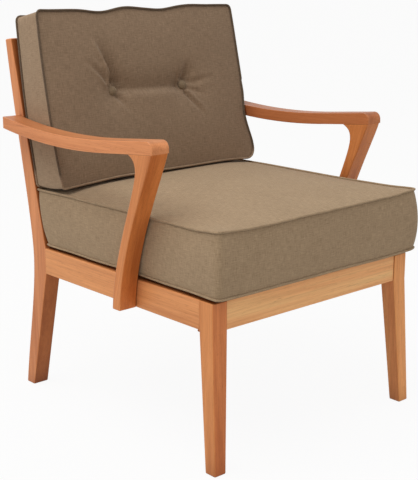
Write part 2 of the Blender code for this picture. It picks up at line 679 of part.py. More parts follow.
def corner_block(end, side, sign):
    """A block across the corner of two rails, notched round the inner corner of the leg."""
    if end == "front":
        leg_face = FRONT_LEG_DEPTH + GAP
        rail_face = cross_rail_front(end) + RAIL_THICKNESS + GAP
        reach = leg_face + BLOCK_REACH
    else:
        leg_face = REAR_LEG_FRONT - GAP
        rail_face = cross_rail_front(end) - GAP
        reach = leg_face - BLOCK_REACH
    outline = [(RAIL_INNER_X - GAP, leg_face), (RAIL_INNER_X - GAP, reach),
               (LEG_INNER_X - BLOCK_REACH, rail_face), (LEG_INNER_X - GAP, rail_face),
               (LEG_INNER_X - GAP, leg_face)]
    outline = [(sign * x, y) for x, y in outline]
    lift = Matrix.Translation((0.0, 0.0, RAIL_BOTTOM + BLOCK_RISE + BLOCK_HEIGHT / 2))
    mesh = outline_mesh("corner_block", outline, BLOCK_HEIGHT, lift)
    add_part("corner_block_%s_%s" % (end, side), mesh, WOOD_TONES["hidden"])


# Cushions

def cushion_mesh(name, width, length, boxing, crown, taper=0.0, overrun=(0.0, 0.0), tufts=(),
                 stands_on_edge=False):
    """A boxed cushion on its back: crowned faces, sides drawn in, boxing slightly bulged.

    With a taper it is thicker at its lower edge (-Y) and thinner at its upper edge.
    The overrun is how far the top panel reaches beyond the bottom one, at each of those edges.
    Each tuft is an (x, y) place where a button pulls both faces in.
    A cushion that stands on its lower edge keeps that edge straight.
    """
    shape = bmesh.new()
    bmesh.ops.create_cube(shape, size=2.0)
    cells = (CUSHION_CELLS["across"], CUSHION_CELLS["along"], CUSHION_CELLS["thick"])
    for axis in (2, 0, 1):
        lines = [edge for edge in shape.edges if abs((edge.verts[1].co - edge.verts[0].co)[axis]) > 1.0]
        bmesh.ops.subdivide_edges(shape, edges=lines, cuts=cells[axis] - 1, use_grid_fill=True)
    for corner in shape.verts:
        p, q, r = corner.co
        swell = BOXING_BULGE * (1 - r * r)
        half_x = width / 2 - BOXING_BULGE - CUSHION_DRAW_IN * (1 - q * q) * p * p + swell
        half_y = length / 2
        if q > 0 or not stands_on_edge:
            half_y += swell - BOXING_BULGE - CUSHION_DRAW_IN * (1 - p * p) * q * q
        x = p * half_x
        y = q * half_y + (1 + r) / 2 * (overrun[1] * (1 + q) - overrun[0] * (1 - q)) / 2
        height = boxing / 2 + crown * (1 - p ** CROWN_POWER) * (1 - q ** CROWN_POWER)
        for tuft_x, tuft_y in tufts:
            apart = math.hypot(x - tuft_x, y - tuft_y)
            height -= (crown + TUFT_DEPTH) * math.exp(-apart / TUFT_REACH * (1 + apart / TUFT_REACH))
        corner.co = (x, y, r * height - taper * q * (1 + r) / 2)
    return to_mesh(shape, name)


def seat_cushion():
    """Its rear end leans with the uprights behind it."""
    rear = REAR_LEG_FRONT - SEAT_REAR_PLAY
    length = rear + SEAT_OVERHANG
    lean = upright_front(SEAT_TOP_SEAM) - REAR_LEG_FRONT
    mesh = cushion_mesh("seat_cushion", SEAT_WIDTH, length, SEAT_BOXING, SEAT_CROWN, overrun=(0.0, lean))
    flat_bottom = -SEAT_BOXING / 2
    for corner in mesh.vertices:
        corner.co.z = max(corner.co.z, flat_bottom)
    cushion = add_part("seat_cushion", mesh, FABRIC_COLOUR, roughness=0.95)
    cushion.location = (0.0, rear - length / 2, SLAT_TOP + GAP + SEAT_BOXING / 2)
    ease_edges(cushion, SEAM_ROUND, 1)


def tuft_places():
    return {side: (sign * TUFT_SPREAD, TUFT_HEIGHT - BACK_HEIGHT / 2) for side, sign in SIDES.items()}


def back_cushion(frame):
    """Lies in its own frame: +Y up the slope and +Z out of the face that the sitter leans on."""
    mesh = cushion_mesh("back_cushion", BACK_WIDTH, BACK_HEIGHT, BACK_BOXING, BACK_CROWN, BACK_TAPER,
                        (BACK_FOOT_DIP, 0.0), tuft_places().values(), stands_on_edge=True)
    flat_rear = -BACK_BOXING / 2
    for corner in mesh.vertices:
        corner.co.z = max(corner.co.z, flat_rear)
    cushion = add_part("back_cushion", mesh, FABRIC_COLOUR, roughness=0.95, frame=frame)
    ease_edges(cushion, SEAM_ROUND, 1)
    for x, y in tuft_places().values():
        for sign in (1, -1):
            low = sign * (BACK_BOXING / 2 - TUFT_DEPTH - GAP)
            seat = rod_mesh("button_seat", (x, y, low), (x, y, sign * BACK_BOXING), BUTTON_RADIUS + GAP)
            combine(cushion, "DIFFERENCE", seat, frame)
        hole = rod_mesh("cord_hole", (x, y, -BACK_BOXING), (x, y, BACK_BOXING), CORD_RADIUS + GAP)
        combine(cushion, "DIFFERENCE", hole, frame)


def tuft(side, place, frame):
    """A covered button in each face of the back cushion, and the cord that ties the two together."""
    x, y = place
    under = BACK_BOXING / 2 - TUFT_DEPTH
    dome = [(radius * BUTTON_RADIUS, height * BUTTON_HEIGHT) for radius, height in BUTTON_PROFILE]
    for face, sign in (("front", 1), ("rear", -1)):
        name = "button_%s_%s" % (face, side)
        button = add_part(name, turned_mesh(name, dome), BUTTON_COLOUR, roughness=0.95, frame=frame)
        button.location = (x, y, sign * under)
        button.rotation_euler = (0.0 if sign > 0 else math.pi, 0.0, 0.0)
    cord = rod_mesh("tuft_cord", (x, y, GAP - under), (x, y, under - GAP), CORD_RADIUS, sides=8)
    add_part("tuft_cord_" + side, cord, CORD_COLOUR, roughness=0.8, frame=frame)


# Assembly

for end in ("front", "rear"):
    cross_rail(end)
for side, sign in SIDES.items():
    front_leg(side, sign)
    rear_leg(side, sign)
    side_rail(side, sign)
    arm(side, sign)
    arm_support(side, sign)
    for place in DOWEL_SHARES:
        arm_dowel(side, sign, place)
    wood_screw("arm_screw_" + side, arm_screw_line(sign))
    for level in SUPPORT_SCREW_HEIGHTS:
        wood_screw("support_screw_%s_%s" % (level, side), support_screw_line(sign, level))
    slat_cleat(side, sign)
    for end in ("front", "rear"):
        corner_block(end, side, sign)
for level in BACK_RAIL_RISE:
    back_rail(level)
for index in range(BACK_SLAT_COUNT):
    back_slat(index)
for index in range(SLAT_COUNT):
    seat_slat(index)
seat_cushion()
CUSHION_FRAME = new_empty("back_cushion_frame", BACK, (0.0, -BACK_BOXING / 2, BACK_HEIGHT / 2),
                          (math.pi / 2, 0.0, 0.0))
back_cushion(CUSHION_FRAME)
for side, place in tuft_places().items():
    tuft(side, place, CUSHION_FRAME)
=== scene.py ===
import json
import math

import bmesh
import bpy
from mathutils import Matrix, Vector, noise
from mathutils.bvhtree import BVHTree

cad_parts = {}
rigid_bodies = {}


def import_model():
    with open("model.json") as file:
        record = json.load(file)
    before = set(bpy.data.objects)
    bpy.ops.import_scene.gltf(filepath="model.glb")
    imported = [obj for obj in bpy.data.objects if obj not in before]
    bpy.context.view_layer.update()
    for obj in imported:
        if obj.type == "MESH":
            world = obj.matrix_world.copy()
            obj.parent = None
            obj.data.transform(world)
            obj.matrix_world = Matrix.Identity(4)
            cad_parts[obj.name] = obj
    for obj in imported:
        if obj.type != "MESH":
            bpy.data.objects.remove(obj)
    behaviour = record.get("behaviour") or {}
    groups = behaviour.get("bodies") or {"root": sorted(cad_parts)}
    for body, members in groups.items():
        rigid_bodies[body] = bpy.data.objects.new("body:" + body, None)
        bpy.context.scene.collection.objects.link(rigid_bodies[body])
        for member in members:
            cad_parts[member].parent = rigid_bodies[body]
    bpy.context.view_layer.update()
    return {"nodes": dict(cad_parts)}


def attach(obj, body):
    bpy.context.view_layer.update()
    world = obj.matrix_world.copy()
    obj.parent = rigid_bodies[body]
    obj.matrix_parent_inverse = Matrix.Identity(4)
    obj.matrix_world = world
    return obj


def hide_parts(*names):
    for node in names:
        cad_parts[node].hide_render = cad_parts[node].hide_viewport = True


for leftover in list(bpy.data.objects):
    bpy.data.objects.remove(leftover, do_unlink=True)
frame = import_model()
wood_piece = frame["nodes"]


# Legs. Four sawn hardwood legs under a warm orange-brown stain and a satin lacquer, the grain along
# each leg. The rear pair are single bent pieces that carry on upward as the uprights of the back.
# Every leg is mortised for the rails, and its edges are eased with a plane.

def add_link(tree, start, end):
    tree.links.new(start, end)


def eased_shading():
    """Welds the facets of a sawn piece and shades its curves smooth, with the true corners kept crisp."""
    group = bpy.data.node_groups.new("eased_shading", "GeometryNodeTree")
    group.interface.new_socket("Geometry", in_out="INPUT", socket_type="NodeSocketGeometry")
    group.interface.new_socket("Geometry", in_out="OUTPUT", socket_type="NodeSocketGeometry")
    start = group.nodes.new("NodeGroupInput")
    end = group.nodes.new("NodeGroupOutput")
    bare = group.nodes.new("GeometryNodeRemoveAttribute")
    bare.inputs["Name"].default_value = "custom_normal"
    weld = group.nodes.new("GeometryNodeMergeByDistance")
    weld.inputs["Distance"].default_value = 0.00002
    faces = group.nodes.new("GeometryNodeSetShadeSmooth")
    faces.domain = "FACE"
    edges = group.nodes.new("GeometryNodeSetShadeSmooth")
    edges.domain = "EDGE"
    bend = group.nodes.new("GeometryNodeInputMeshEdgeAngle")
    soft = group.nodes.new("FunctionNodeCompare")
    soft.operation = "LESS_THAN"
    soft.inputs["B"].default_value = math.radians(50.0)
    add_link(group, start.outputs[0], bare.inputs["Geometry"])
    add_link(group, bare.outputs[0], weld.inputs["Geometry"])
    add_link(group, weld.outputs[0], faces.inputs["Geometry"])
    add_link(group, faces.outputs[0], edges.inputs["Geometry"])
    add_link(group, bend.outputs["Unsigned Angle"], soft.inputs["A"])
    add_link(group, soft.outputs[0], edges.inputs["Shade Smooth"])
    add_link(group, edges.outputs[0], end.inputs[0])
    return group


EASED = eased_shading()


def add_node(tree, kind, place, **values):
    """A shader node, with the given sockets set by name."""
    made = tree.nodes.new(kind)
    made.location = place
    for socket, value in values.items():
        made.inputs[socket.replace("_", " ")].default_value = value
    return made


def streaks(tree, source, stretch, detail, place):
    """Noise drawn out along the grain: stretch gives its counts to the metre, along and across."""
    spread = add_node(tree, "ShaderNodeMapping", (place[0], place[1]), Scale=stretch)
    add_link(tree, source, spread.inputs["Vector"])
    made = add_node(tree, "ShaderNodeTexNoise", (place[0] + 200, place[1]),
                    Scale=1.0, Detail=detail, Roughness=0.6)
    add_link(tree, spread.outputs[0], made.inputs["Vector"])
    return made.outputs["Fac"]


def tones(tree, source, stops, place):
    """A colour ramp from (position, colour) stops."""
    ramp = add_node(tree, "ShaderNodeValToRGB", place)
    while len(ramp.color_ramp.elements) < len(stops):
        ramp.color_ramp.elements.new(0.5)
    for element, (position, colour) in zip(ramp.color_ramp.elements, stops):
        element.position = position
        element.color = (*colour, 1.0)
    add_link(tree, source, ramp.inputs["Fac"])
    return ramp.outputs["Color"]


def blended(tree, kind, share, under, over, place):
    """A colour mix whose share is a number or a socket."""
    mix = add_node(tree, "ShaderNodeMix", place)
    mix.data_type = "RGBA"
    mix.blend_type = kind
    if isinstance(share, float):
        mix.inputs["Factor"].default_value = share
    else:
        add_link(tree, share, mix.inputs["Factor"])
    add_link(tree, under, mix.inputs["A"])
    add_link(tree, over, mix.inputs["B"])
    return mix.outputs["Result"]


GRAIN_TURNS = {"x": (0.0, 0.0, 0.0), "y": (0.0, 0.0, -math.pi / 2), "z": (0.0, math.pi / 2, 0.0)}
# A way and a tone of painted shade for the faces that look that way; this one leaves every face as it is.
NO_SIDE_SHADE = ((0.0, 0.0, 1.0), (1.0, 1.0, 1.0))


def stained_wood(name, colour, along, cut, lean, side_shade):
    """Close-grained hardwood, stained and lacquered. cut says where in the board the piece was sawn.

    The last argument gives a way and a tone: faces that look that way take the tone, as painted shade.
    """
    material = bpy.data.materials.new(name)
    material.use_nodes = True
    tree = material.node_tree
    shader = tree.nodes["Principled BSDF"]
    place = add_node(tree, "ShaderNodeTexCoord", (-1500, 0))
    turn_x, turn_y, turn_z = GRAIN_TURNS[along]
    board = add_node(tree, "ShaderNodeMapping", (-1300, 0), Rotation=(turn_x + lean, turn_y, turn_z),
                     Location=(0.31 * cut, 0.173 * cut, 0.117 * cut))
    add_link(tree, place.outputs["Object"], board.inputs["Vector"])
    grain = board.outputs[0]
    red, green, blue = colour
    light = (min(1.0, red * 1.16), green * 1.22, blue * 1.28)
    dark = (red * 0.80, green * 0.70, blue * 0.62)
    figure = streaks(tree, grain, (1.6, 42.0, 42.0), 3.0, (-1100, 300))
    ground = tones(tree, figure, [(0.28, dark), (0.5, colour), (0.74, light)], (-700, 300))
    fibre = streaks(tree, grain, (7.0, 330.0, 330.0), 4.0, (-1100, 0))
    strand = tones(tree, fibre, [(0.30, (0.80, 0.74, 0.70)), (0.62, (1.0, 1.0, 1.0))], (-700, 0))
    body = blended(tree, "MULTIPLY", 0.75, ground, strand, (-400, 200))
    pore = streaks(tree, grain, (38.0, 1500.0, 1500.0), 2.0, (-1100, -300))
    fleck = tones(tree, pore, [(0.30, (0.55, 0.46, 0.40)), (0.40, (1.0, 1.0, 1.0))], (-700, -300))
    body = blended(tree, "MULTIPLY", 0.6, body, fleck, (-200, 200))
    # Painted shade: faces that look the given way are darkened by the given tone.
    shaded_way, shade_tone = side_shade
    facing = add_node(tree, "ShaderNodeVectorMath", (-900, 1000))
    facing.operation = "DOT_PRODUCT"
    facing.inputs[1].default_value = shaded_way
    add_link(tree, place.outputs["Normal"], facing.inputs[0])
    painted_side_shade = tones(tree, facing.outputs["Value"], [(0.60, (1.0, 1.0, 1.0)), (0.90, shade_tone)], (-600, 1000))
    body = blended(tree, "MULTIPLY", 1.0, body, painted_side_shade, (-100, 400))
    # Painted highlight: the eased edges, where the bevel normal turns from the face's, are mixed towards
    # the pale tone.
    rounding = add_node(tree, "ShaderNodeBevel", (-900, 600), Radius=0.003)
    flat = add_node(tree, "ShaderNodeNewGeometry", (-900, 800))
    edge = add_node(tree, "ShaderNodeVectorMath", (-700, 700))
    edge.operation = "DOT_PRODUCT"
    add_link(tree, rounding.outputs[0], edge.inputs[0])
    add_link(tree, flat.outputs["Normal"], edge.inputs[1])
    edge_highlight_stops = [(0.90, (0.4, 0.4, 0.4)), (0.995, (0.0, 0.0, 0.0))]
    painted_edge_highlight = tones(tree, edge.outputs["Value"], edge_highlight_stops, (-500, 700))
    pale = add_node(tree, "ShaderNodeRGB", (-400, 500))
    pale.outputs[0].default_value = (*light, 1.0)
    body = blended(tree, "MIX", painted_edge_highlight, body, pale.outputs[0], (0, 300))
    # Painted shade: ambient occlusion darkens the wood in nooks, between parts and under the seat.
    occlusion = add_node(tree, "ShaderNodeAmbientOcclusion", (0, 600), Distance=0.10)
    shade_stops = [(0.12, (0.44, 0.32, 0.22)), (0.75, (1.0, 1.0, 1.0))]
    painted_shade = tones(tree, occlusion.outputs["AO"], shade_stops, (150, 600))
    body = blended(tree, "MULTIPLY", 1.0, body, painted_shade, (350, 300))
    add_link(tree, body, shader.inputs["Base Color"])
    gloss = add_node(tree, "ShaderNodeMapRange", (-400, -150), To_Min=0.34, To_Max=0.52)
    add_link(tree, fibre, gloss.inputs["Value"])
    add_link(tree, gloss.outputs["Result"], shader.inputs["Roughness"])
    bump = add_node(tree, "ShaderNodeBump", (-200, -300), Strength=0.22, Distance=0.0004)
    add_link(tree, pore, bump.inputs["Height"])
    add_link(tree, bump.outputs[0], shader.inputs["Normal"])
    shader.inputs["Specular IOR Level"].default_value = 0.24
    return material


def dress_wood(node, colour, along, cut, lean=0.0, side_shade=NO_SIDE_SHADE):
    piece = wood_piece[node]
    piece.data.materials.clear()
    piece.data.materials.append(stained_wood(node + "_finish", colour, along, cut, lean, side_shade))
    shade = piece.modifiers.new("eased", "NODES")
    shade.node_group = EASED
    even = piece.modifiers.new("even_normals", "WEIGHTED_NORMAL")
    even.keep_sharp = True
    even.weight = 80


# Each leg's stain, and a way with a tone that darkens the leg's faces looking that way, as painted shade.
# The far front leg's much paler stain is partly painted light on its front face.
LEG_FINISH = {"front_leg_right": ((0.70, 0.272, 0.091), ((0.0, -1.0, 0.0), (1.0, 0.84, 0.78))),
              "front_leg_left": ((0.94, 0.415, 0.145), ((-1.0, 0.0, 0.0), (0.76, 0.70, 0.74))),
              "rear_leg_right": ((0.71, 0.274, 0.108), ((0.0, -1.0, 0.0), (0.64, 0.53, 0.38))),
              "rear_leg_left": ((0.69, 0.262, 0.098), ((0.0, -1.0, 0.0), (0.64, 0.53, 0.38)))}
for number, (leg, (leg_tone, leg_side_shade)) in enumerate(LEG_FINISH.items()):
    dress_wood(leg, leg_tone, "z", 1.0 + number, side_shade=leg_side_shade)


# Seat rails. Four straight rails of the same wood, tenoned into the legs and glued. The front rail's much
# paler stain is partly painted light, where the front is lit more.

RAIL_TONES = {"side_rail_right": ((0.76, 0.318, 0.118), "y"), "side_rail_left": ((0.70, 0.265, 0.100), "y"),
              "front_rail": ((0.98, 0.490, 0.202), "x"), "rear_rail": ((0.68, 0.250, 0.095), "x")}
for number, (rail, (rail_tone, rail_run)) in enumerate(RAIL_TONES.items()):
    dress_wood(rail, rail_tone, rail_run, 7.0 + number)


# Corner blocks, cleats and seat slats. Plain planed wood inside the seat frame: the blocks are glued
# across the corners, the cleats along the side rails, and the slats lie on the cleats.

INNER_TONE = (0.62, 0.310, 0.140)
for number, end in enumerate(("front", "rear")):
    for side in ("right", "left"):
        dress_wood("corner_block_%s_%s" % (end, side), INNER_TONE, "x", 12.0 + number + 0.4 * len(side))
for side in ("right", "left"):
    dress_wood("slat_cleat_" + side, INNER_TONE, "y", 17.0 + len(side))
for number in range(1, 6):
    shade_of_slat = 0.92 + 0.035 * ((number * 3) % 5)
    slat_tone = tuple(part * shade_of_slat for part in INNER_TONE)
    dress_wood("seat_slat_%d" % number, slat_tone, "x", 20.0 + number)


# Arms and supports. Each arm is an arc sawn from one board, and each support a leaning bracket with a
# flared heel, also sawn from a board, so the grain runs straight through the curves. The support is
# dowelled to the arm and screwed to the side rail, and the arm's tail is screwed to the upright.

SUPPORT_LEAN = math.atan2(0.0875, 0.313)
# The stain of each arm and of its support.
ARM_TONES = {"right": ((0.74, 0.286, 0.112), (0.72, 0.272, 0.093)),
             "left": ((0.54, 0.183, 0.065), (0.67, 0.238, 0.072))}
# Painted shade on the tops of the arms and on the front faces of the supports: a way and a tone, as for the
# legs.
ARM_TOP_SHADE = ((0.0, 0.0, 1.0), (0.75, 0.76, 0.77))
SUPPORT_FRONT_SHADE = {"right": ((0.0, -1.0, 0.0), (0.95, 0.78, 0.56)),
                "left": ((0.0, -1.0, 0.0), (1.0, 0.95, 0.90))}
for number, (side, (arm_tone, support_tone)) in enumerate(ARM_TONES.items()):
    dress_wood("arm_" + side, arm_tone, "y", 30.0 + number, side_shade=ARM_TOP_SHADE)
    dress_wood("arm_support_" + side, support_tone, "z", 33.0 + number, -SUPPORT_LEAN, SUPPORT_FRONT_SHADE[side])
    for place in ("front", "rear"):
        dress_wood("arm_dowel_%s_%s" % (place, side), INNER_TONE, "z", 36.0 + number)


# Screws. Zinc-plated pan heads, driven from the inner faces of the side rails into the supports, and
# from the uprights into the tails of the arms.

def plated_steel(name):
    material = bpy.data.materials.new(name)
    material.use_nodes = True
    tree = material.node_tree
    shader = tree.nodes["Principled BSDF"]
    shader.inputs["Metallic"].default_value = 1.0
    place = add_node(tree, "ShaderNodeTexCoord", (-900, 0))
    scuff = streaks(tree, place.outputs["Object"], (900.0, 900.0, 900.0), 3.0, (-700, 0))
    zinc = tones(tree, scuff, [(0.3, (0.42, 0.43, 0.45)), (0.7, (0.62, 0.62, 0.63))], (-300, 100))
    add_link(tree, zinc, shader.inputs["Base Color"])
    gloss = add_node(tree, "ShaderNodeMapRange", (-300, -150), To_Min=0.25, To_Max=0.45)
    add_link(tree, scuff, gloss.inputs["Value"])
    add_link(tree, gloss.outputs["Result"], shader.inputs["Roughness"])
    return material


ZINC = plated_steel("zinc_plate")
for side in ("right", "left"):
    for screw in ("arm_screw_", "support_screw_lower_", "support_screw_upper_"):
        head = wood_piece[screw + side]
        head.data.materials.clear()
        head.data.materials.append(ZINC)
        turned = head.modifiers.new("eased", "NODES")
        turned.node_group = EASED


# Back rails and slats. Two rails tenoned into the uprights, with upright slats lapped on their
# front faces, which carry the back cushion.

BACK_LEAN = math.atan2(0.20801, 0.97813)
dress_wood("back_top_rail", (0.69, 0.255, 0.096), "x", 41.0)
dress_wood("back_lower_rail", (0.67, 0.248, 0.092), "x", 42.0)
for number in range(1, 6):
    dress_wood("back_slat_%d" % number, (0.70, 0.262, 0.098), "z", 43.0 + number, BACK_LEAN)


# Seat cushion. A block of foam in a boxed cover of taupe-brown woven cloth: a top and a bottom
# panel joined by a boxing strip, with self-covered piping sewn into both seams. It lies loose on
# the slats, between the supports.

# A place from -1 to 1 on a cover counts as its edge beyond this.
EDGE = 0.999
PIPING_RADIUS = 0.0023
PIPING_PROUD = 0.0010
SEAT_ACROSS = Vector((1.0, 0.0, 0.0))
SEAT_ALONG = Vector((0.0, 1.0, 0.0))
SEAT_HALF_WIDTH = 0.2655
SEAT_FRONT = -0.3305
SEAT_REAR = 0.2088
SEAT_LEAN = 0.0285
# The front of the uprights: its depth at a height, that height, and its slope.
UPRIGHT_FRONT = (0.212, 0.327, 0.2324)
UPRIGHT_CLEAR = 0.001
SEAT_LOW_SEAM = 0.3318
SEAT_TOP_SEAM = 0.4495
SEAT_CROWN = 0.011
SEAT_BELLY = 0.0030
SEAT_CORNER = {"front_right": 0.012, "front_left": 0.010, "rear_right": 0.005, "rear_left": 0.005}
SEAT_DRAW_IN = 0.003
SEAT_ROLL = 0.0035
SEAT_PITCH = 0.0015
# The front corners stand up as ears. The left one also reaches out, most of all at its heel below.
SEAT_EAR = {"right": 0.0055, "left": 0.0035}
SEAT_EAR_SPREAD = 0.03
SEAT_EAR_OUT = 0.0050
SEAT_HEEL_OUT = 0.0165
SEAT_HEEL_LIFT = 0.0030
SEAT_HEEL_ROUND = 0.016
# The right front corner is pulled askew, out to its side and back.
SEAT_SKEW = (-0.0030, 0.0040)
SEAT_SKEW_SPREAD = 0.15
SEAT_BULGE = 0.005
# How far a sewn seam wanders, out and up, and how many times to the metre.
SEAT_WANDER = (0.0012, 0.0014)
SEAT_WANDER_COUNT = 9.0
# The cover stays within this half width behind the place where the supports begin.
SUPPORT_CLEAR = 0.2692
SUPPORT_REACH = -0.22
CLOTH_CELL = 0.0075


def boxed_grid(name, width, length, height, cell):
    """A cube cut into cells of one size, as a mesh of panels, with each point's place from -1 to 1."""
    shape = bmesh.new()
    bmesh.ops.create_cube(shape, size=2.0)
    for axis, size in ((2, height), (0, width), (1, length)):
        lines = [edge for edge in shape.edges if abs((edge.verts[1].co - edge.verts[0].co)[axis]) > 1.0]
        bmesh.ops.subdivide_edges(shape, edges=lines, cuts=round(size / cell) - 1, use_grid_fill=True)
    shape.normal_update()
    crease = shape.edges.layers.float.new("crease_edge")
    for edge in shape.edges:
        if all(abs(end.co.z) > EDGE and max(abs(end.co.x), abs(end.co.y)) > EDGE for end in edge.verts):
            edge[crease] = 0.9 if abs(edge.verts[0].co.z - edge.verts[1].co.z) < 0.5 else 0.0
    mesh = bpy.data.meshes.new(name)
    shape.to_mesh(mesh)
    shape.free()
    return mesh


def lay_cloth(mesh, width, length, height):
    """Maps the weave in metres, before the cover is shaped. The boxing takes the second material, on the
    back cushion a paler copy of the cloth, as painted light.
    """
    cloth = mesh.uv_layers.new(name="cloth")
    half_x, half_y, half_z = width / 2, length / 2, height / 2
    for face in mesh.polygons:
        across, along, up = face.normal
        for corner in face.loop_indices:
            p, q, r = mesh.vertices[mesh.loops[corner].vertex_index].co
            if abs(up) > 0.5:
                spot = (p * half_x, q * half_y)
            elif across > 0.5:
                spot = (q * half_y, r * half_z)
            elif along > 0.5:
                spot = (half_y + (1 - p) * half_x, r * half_z)
            elif across < -0.5:
                spot = (half_y + 2 * half_x + (1 - q) * half_y, r * half_z)
            else:
                spot = (3 * half_y + 2 * half_x + (1 + p) * half_x, r * half_z)
            cloth.data[corner].uv = spot
        face.material_index = 0 if abs(up) > 0.5 else 1


def round_corner(x, y, half_x, half_y, radius):
    """Moves a point of a square panel so that the panel's corners become round."""
    over_x = abs(x) - (half_x - radius)
    over_y = abs(y) - (half_y - radius)
    if over_x <= 0 or over_y <= 0:
        return x, y
    pull = max(over_x, over_y) / math.hypot(over_x, over_y)
    return (math.copysign(half_x - radius + over_x * pull, x),
            math.copysign(half_y - radius + over_y * pull, y))


def stuff(piece, held, pressure, cap, frames=20):
    """Blows the cover out over its filling by a cloth simulation, and keeps the result within a cap."""
    pins = piece.vertex_groups.new(name="held")
    for index, weight in held.items():
        pins.add([index], weight, "REPLACE")
    cloth = piece.modifiers.new("stuffing", "CLOTH")
    settings = cloth.settings
    settings.quality = 6
    settings.mass = 0.25
    settings.tension_stiffness = 18.0
    settings.compression_stiffness = 12.0
    settings.shear_stiffness = 8.0
    settings.bending_stiffness = 0.4
    settings.use_pressure = True
    settings.uniform_pressure_force = pressure
    settings.effector_weights.gravity = 0.0
    settings.vertex_group_mass = "held"
    cloth.collision_settings.use_collision = False
    cloth.point_cache.frame_start = 1
    cloth.point_cache.frame_end = frames
    scene = bpy.context.scene
    for step in range(1, frames + 1):
        scene.frame_set(step)
    blown = piece.evaluated_get(bpy.context.evaluated_depsgraph_get()).data
    moved = [point.co.copy() for point in blown.vertices]
    piece.modifiers.remove(cloth)
    scene.frame_set(1)
    for point, target in zip(piece.data.vertices, moved):
        step = target - point.co
        if step.length > cap:
            step *= cap / step.length
        point.co = point.co + step


def seam_points(mesh, places, level):
    """The points of a panel's edge in order round the cushion, each with its place across and along."""
    loop = []
    for index, (p, q, r) in enumerate(places):
        if r == level and max(abs(p), abs(q)) > EDGE:
            if p > EDGE and q < EDGE:
                round_way = q + 1
            elif q > EDGE and p > -EDGE:
                round_way = 3 - p
            elif p < -EDGE and q > -EDGE:
                round_way = 5 - q
            else:
                round_way = 7 + p
            loop.append((round_way, mesh.vertices[index].co.copy(), p, q))
    loop.sort(key=lambda entry: entry[0])
    return [entry[1:] for entry in loop]


def sewn_piping(name, seam, across, along, rise, material):
    """A cord covered with the same cloth, sewn into a seam and standing out of it."""
    path = bpy.data.curves.new(name, "CURVE")
    path.dimensions = "3D"
    path.bevel_depth = PIPING_RADIUS
    path.bevel_resolution = 3
    line = path.splines.new("POLY")
    line.points.add(len(seam) - 1)
    for spot, (point, p, q) in zip(line.points, seam):
        outward = (across * p ** 9 + along * q ** 9).normalized()
        spot.co = (*(point + outward * PIPING_PROUD + rise), 1.0)
    line.use_cyclic_u = True
    holder = bpy.data.objects.new(name, path)
    bpy.context.scene.collection.objects.link(holder)
    mesh = bpy.data.meshes.new_from_object(holder.evaluated_get(bpy.context.evaluated_depsgraph_get()))
    bpy.data.objects.remove(holder, do_unlink=True)
    mesh.name = name
    mesh.materials.clear()
    mesh.materials.append(material)
    mesh.shade_smooth()
    piping = bpy.data.objects.new(name, mesh)
    bpy.context.scene.collection.objects.link(piping)
    return piping


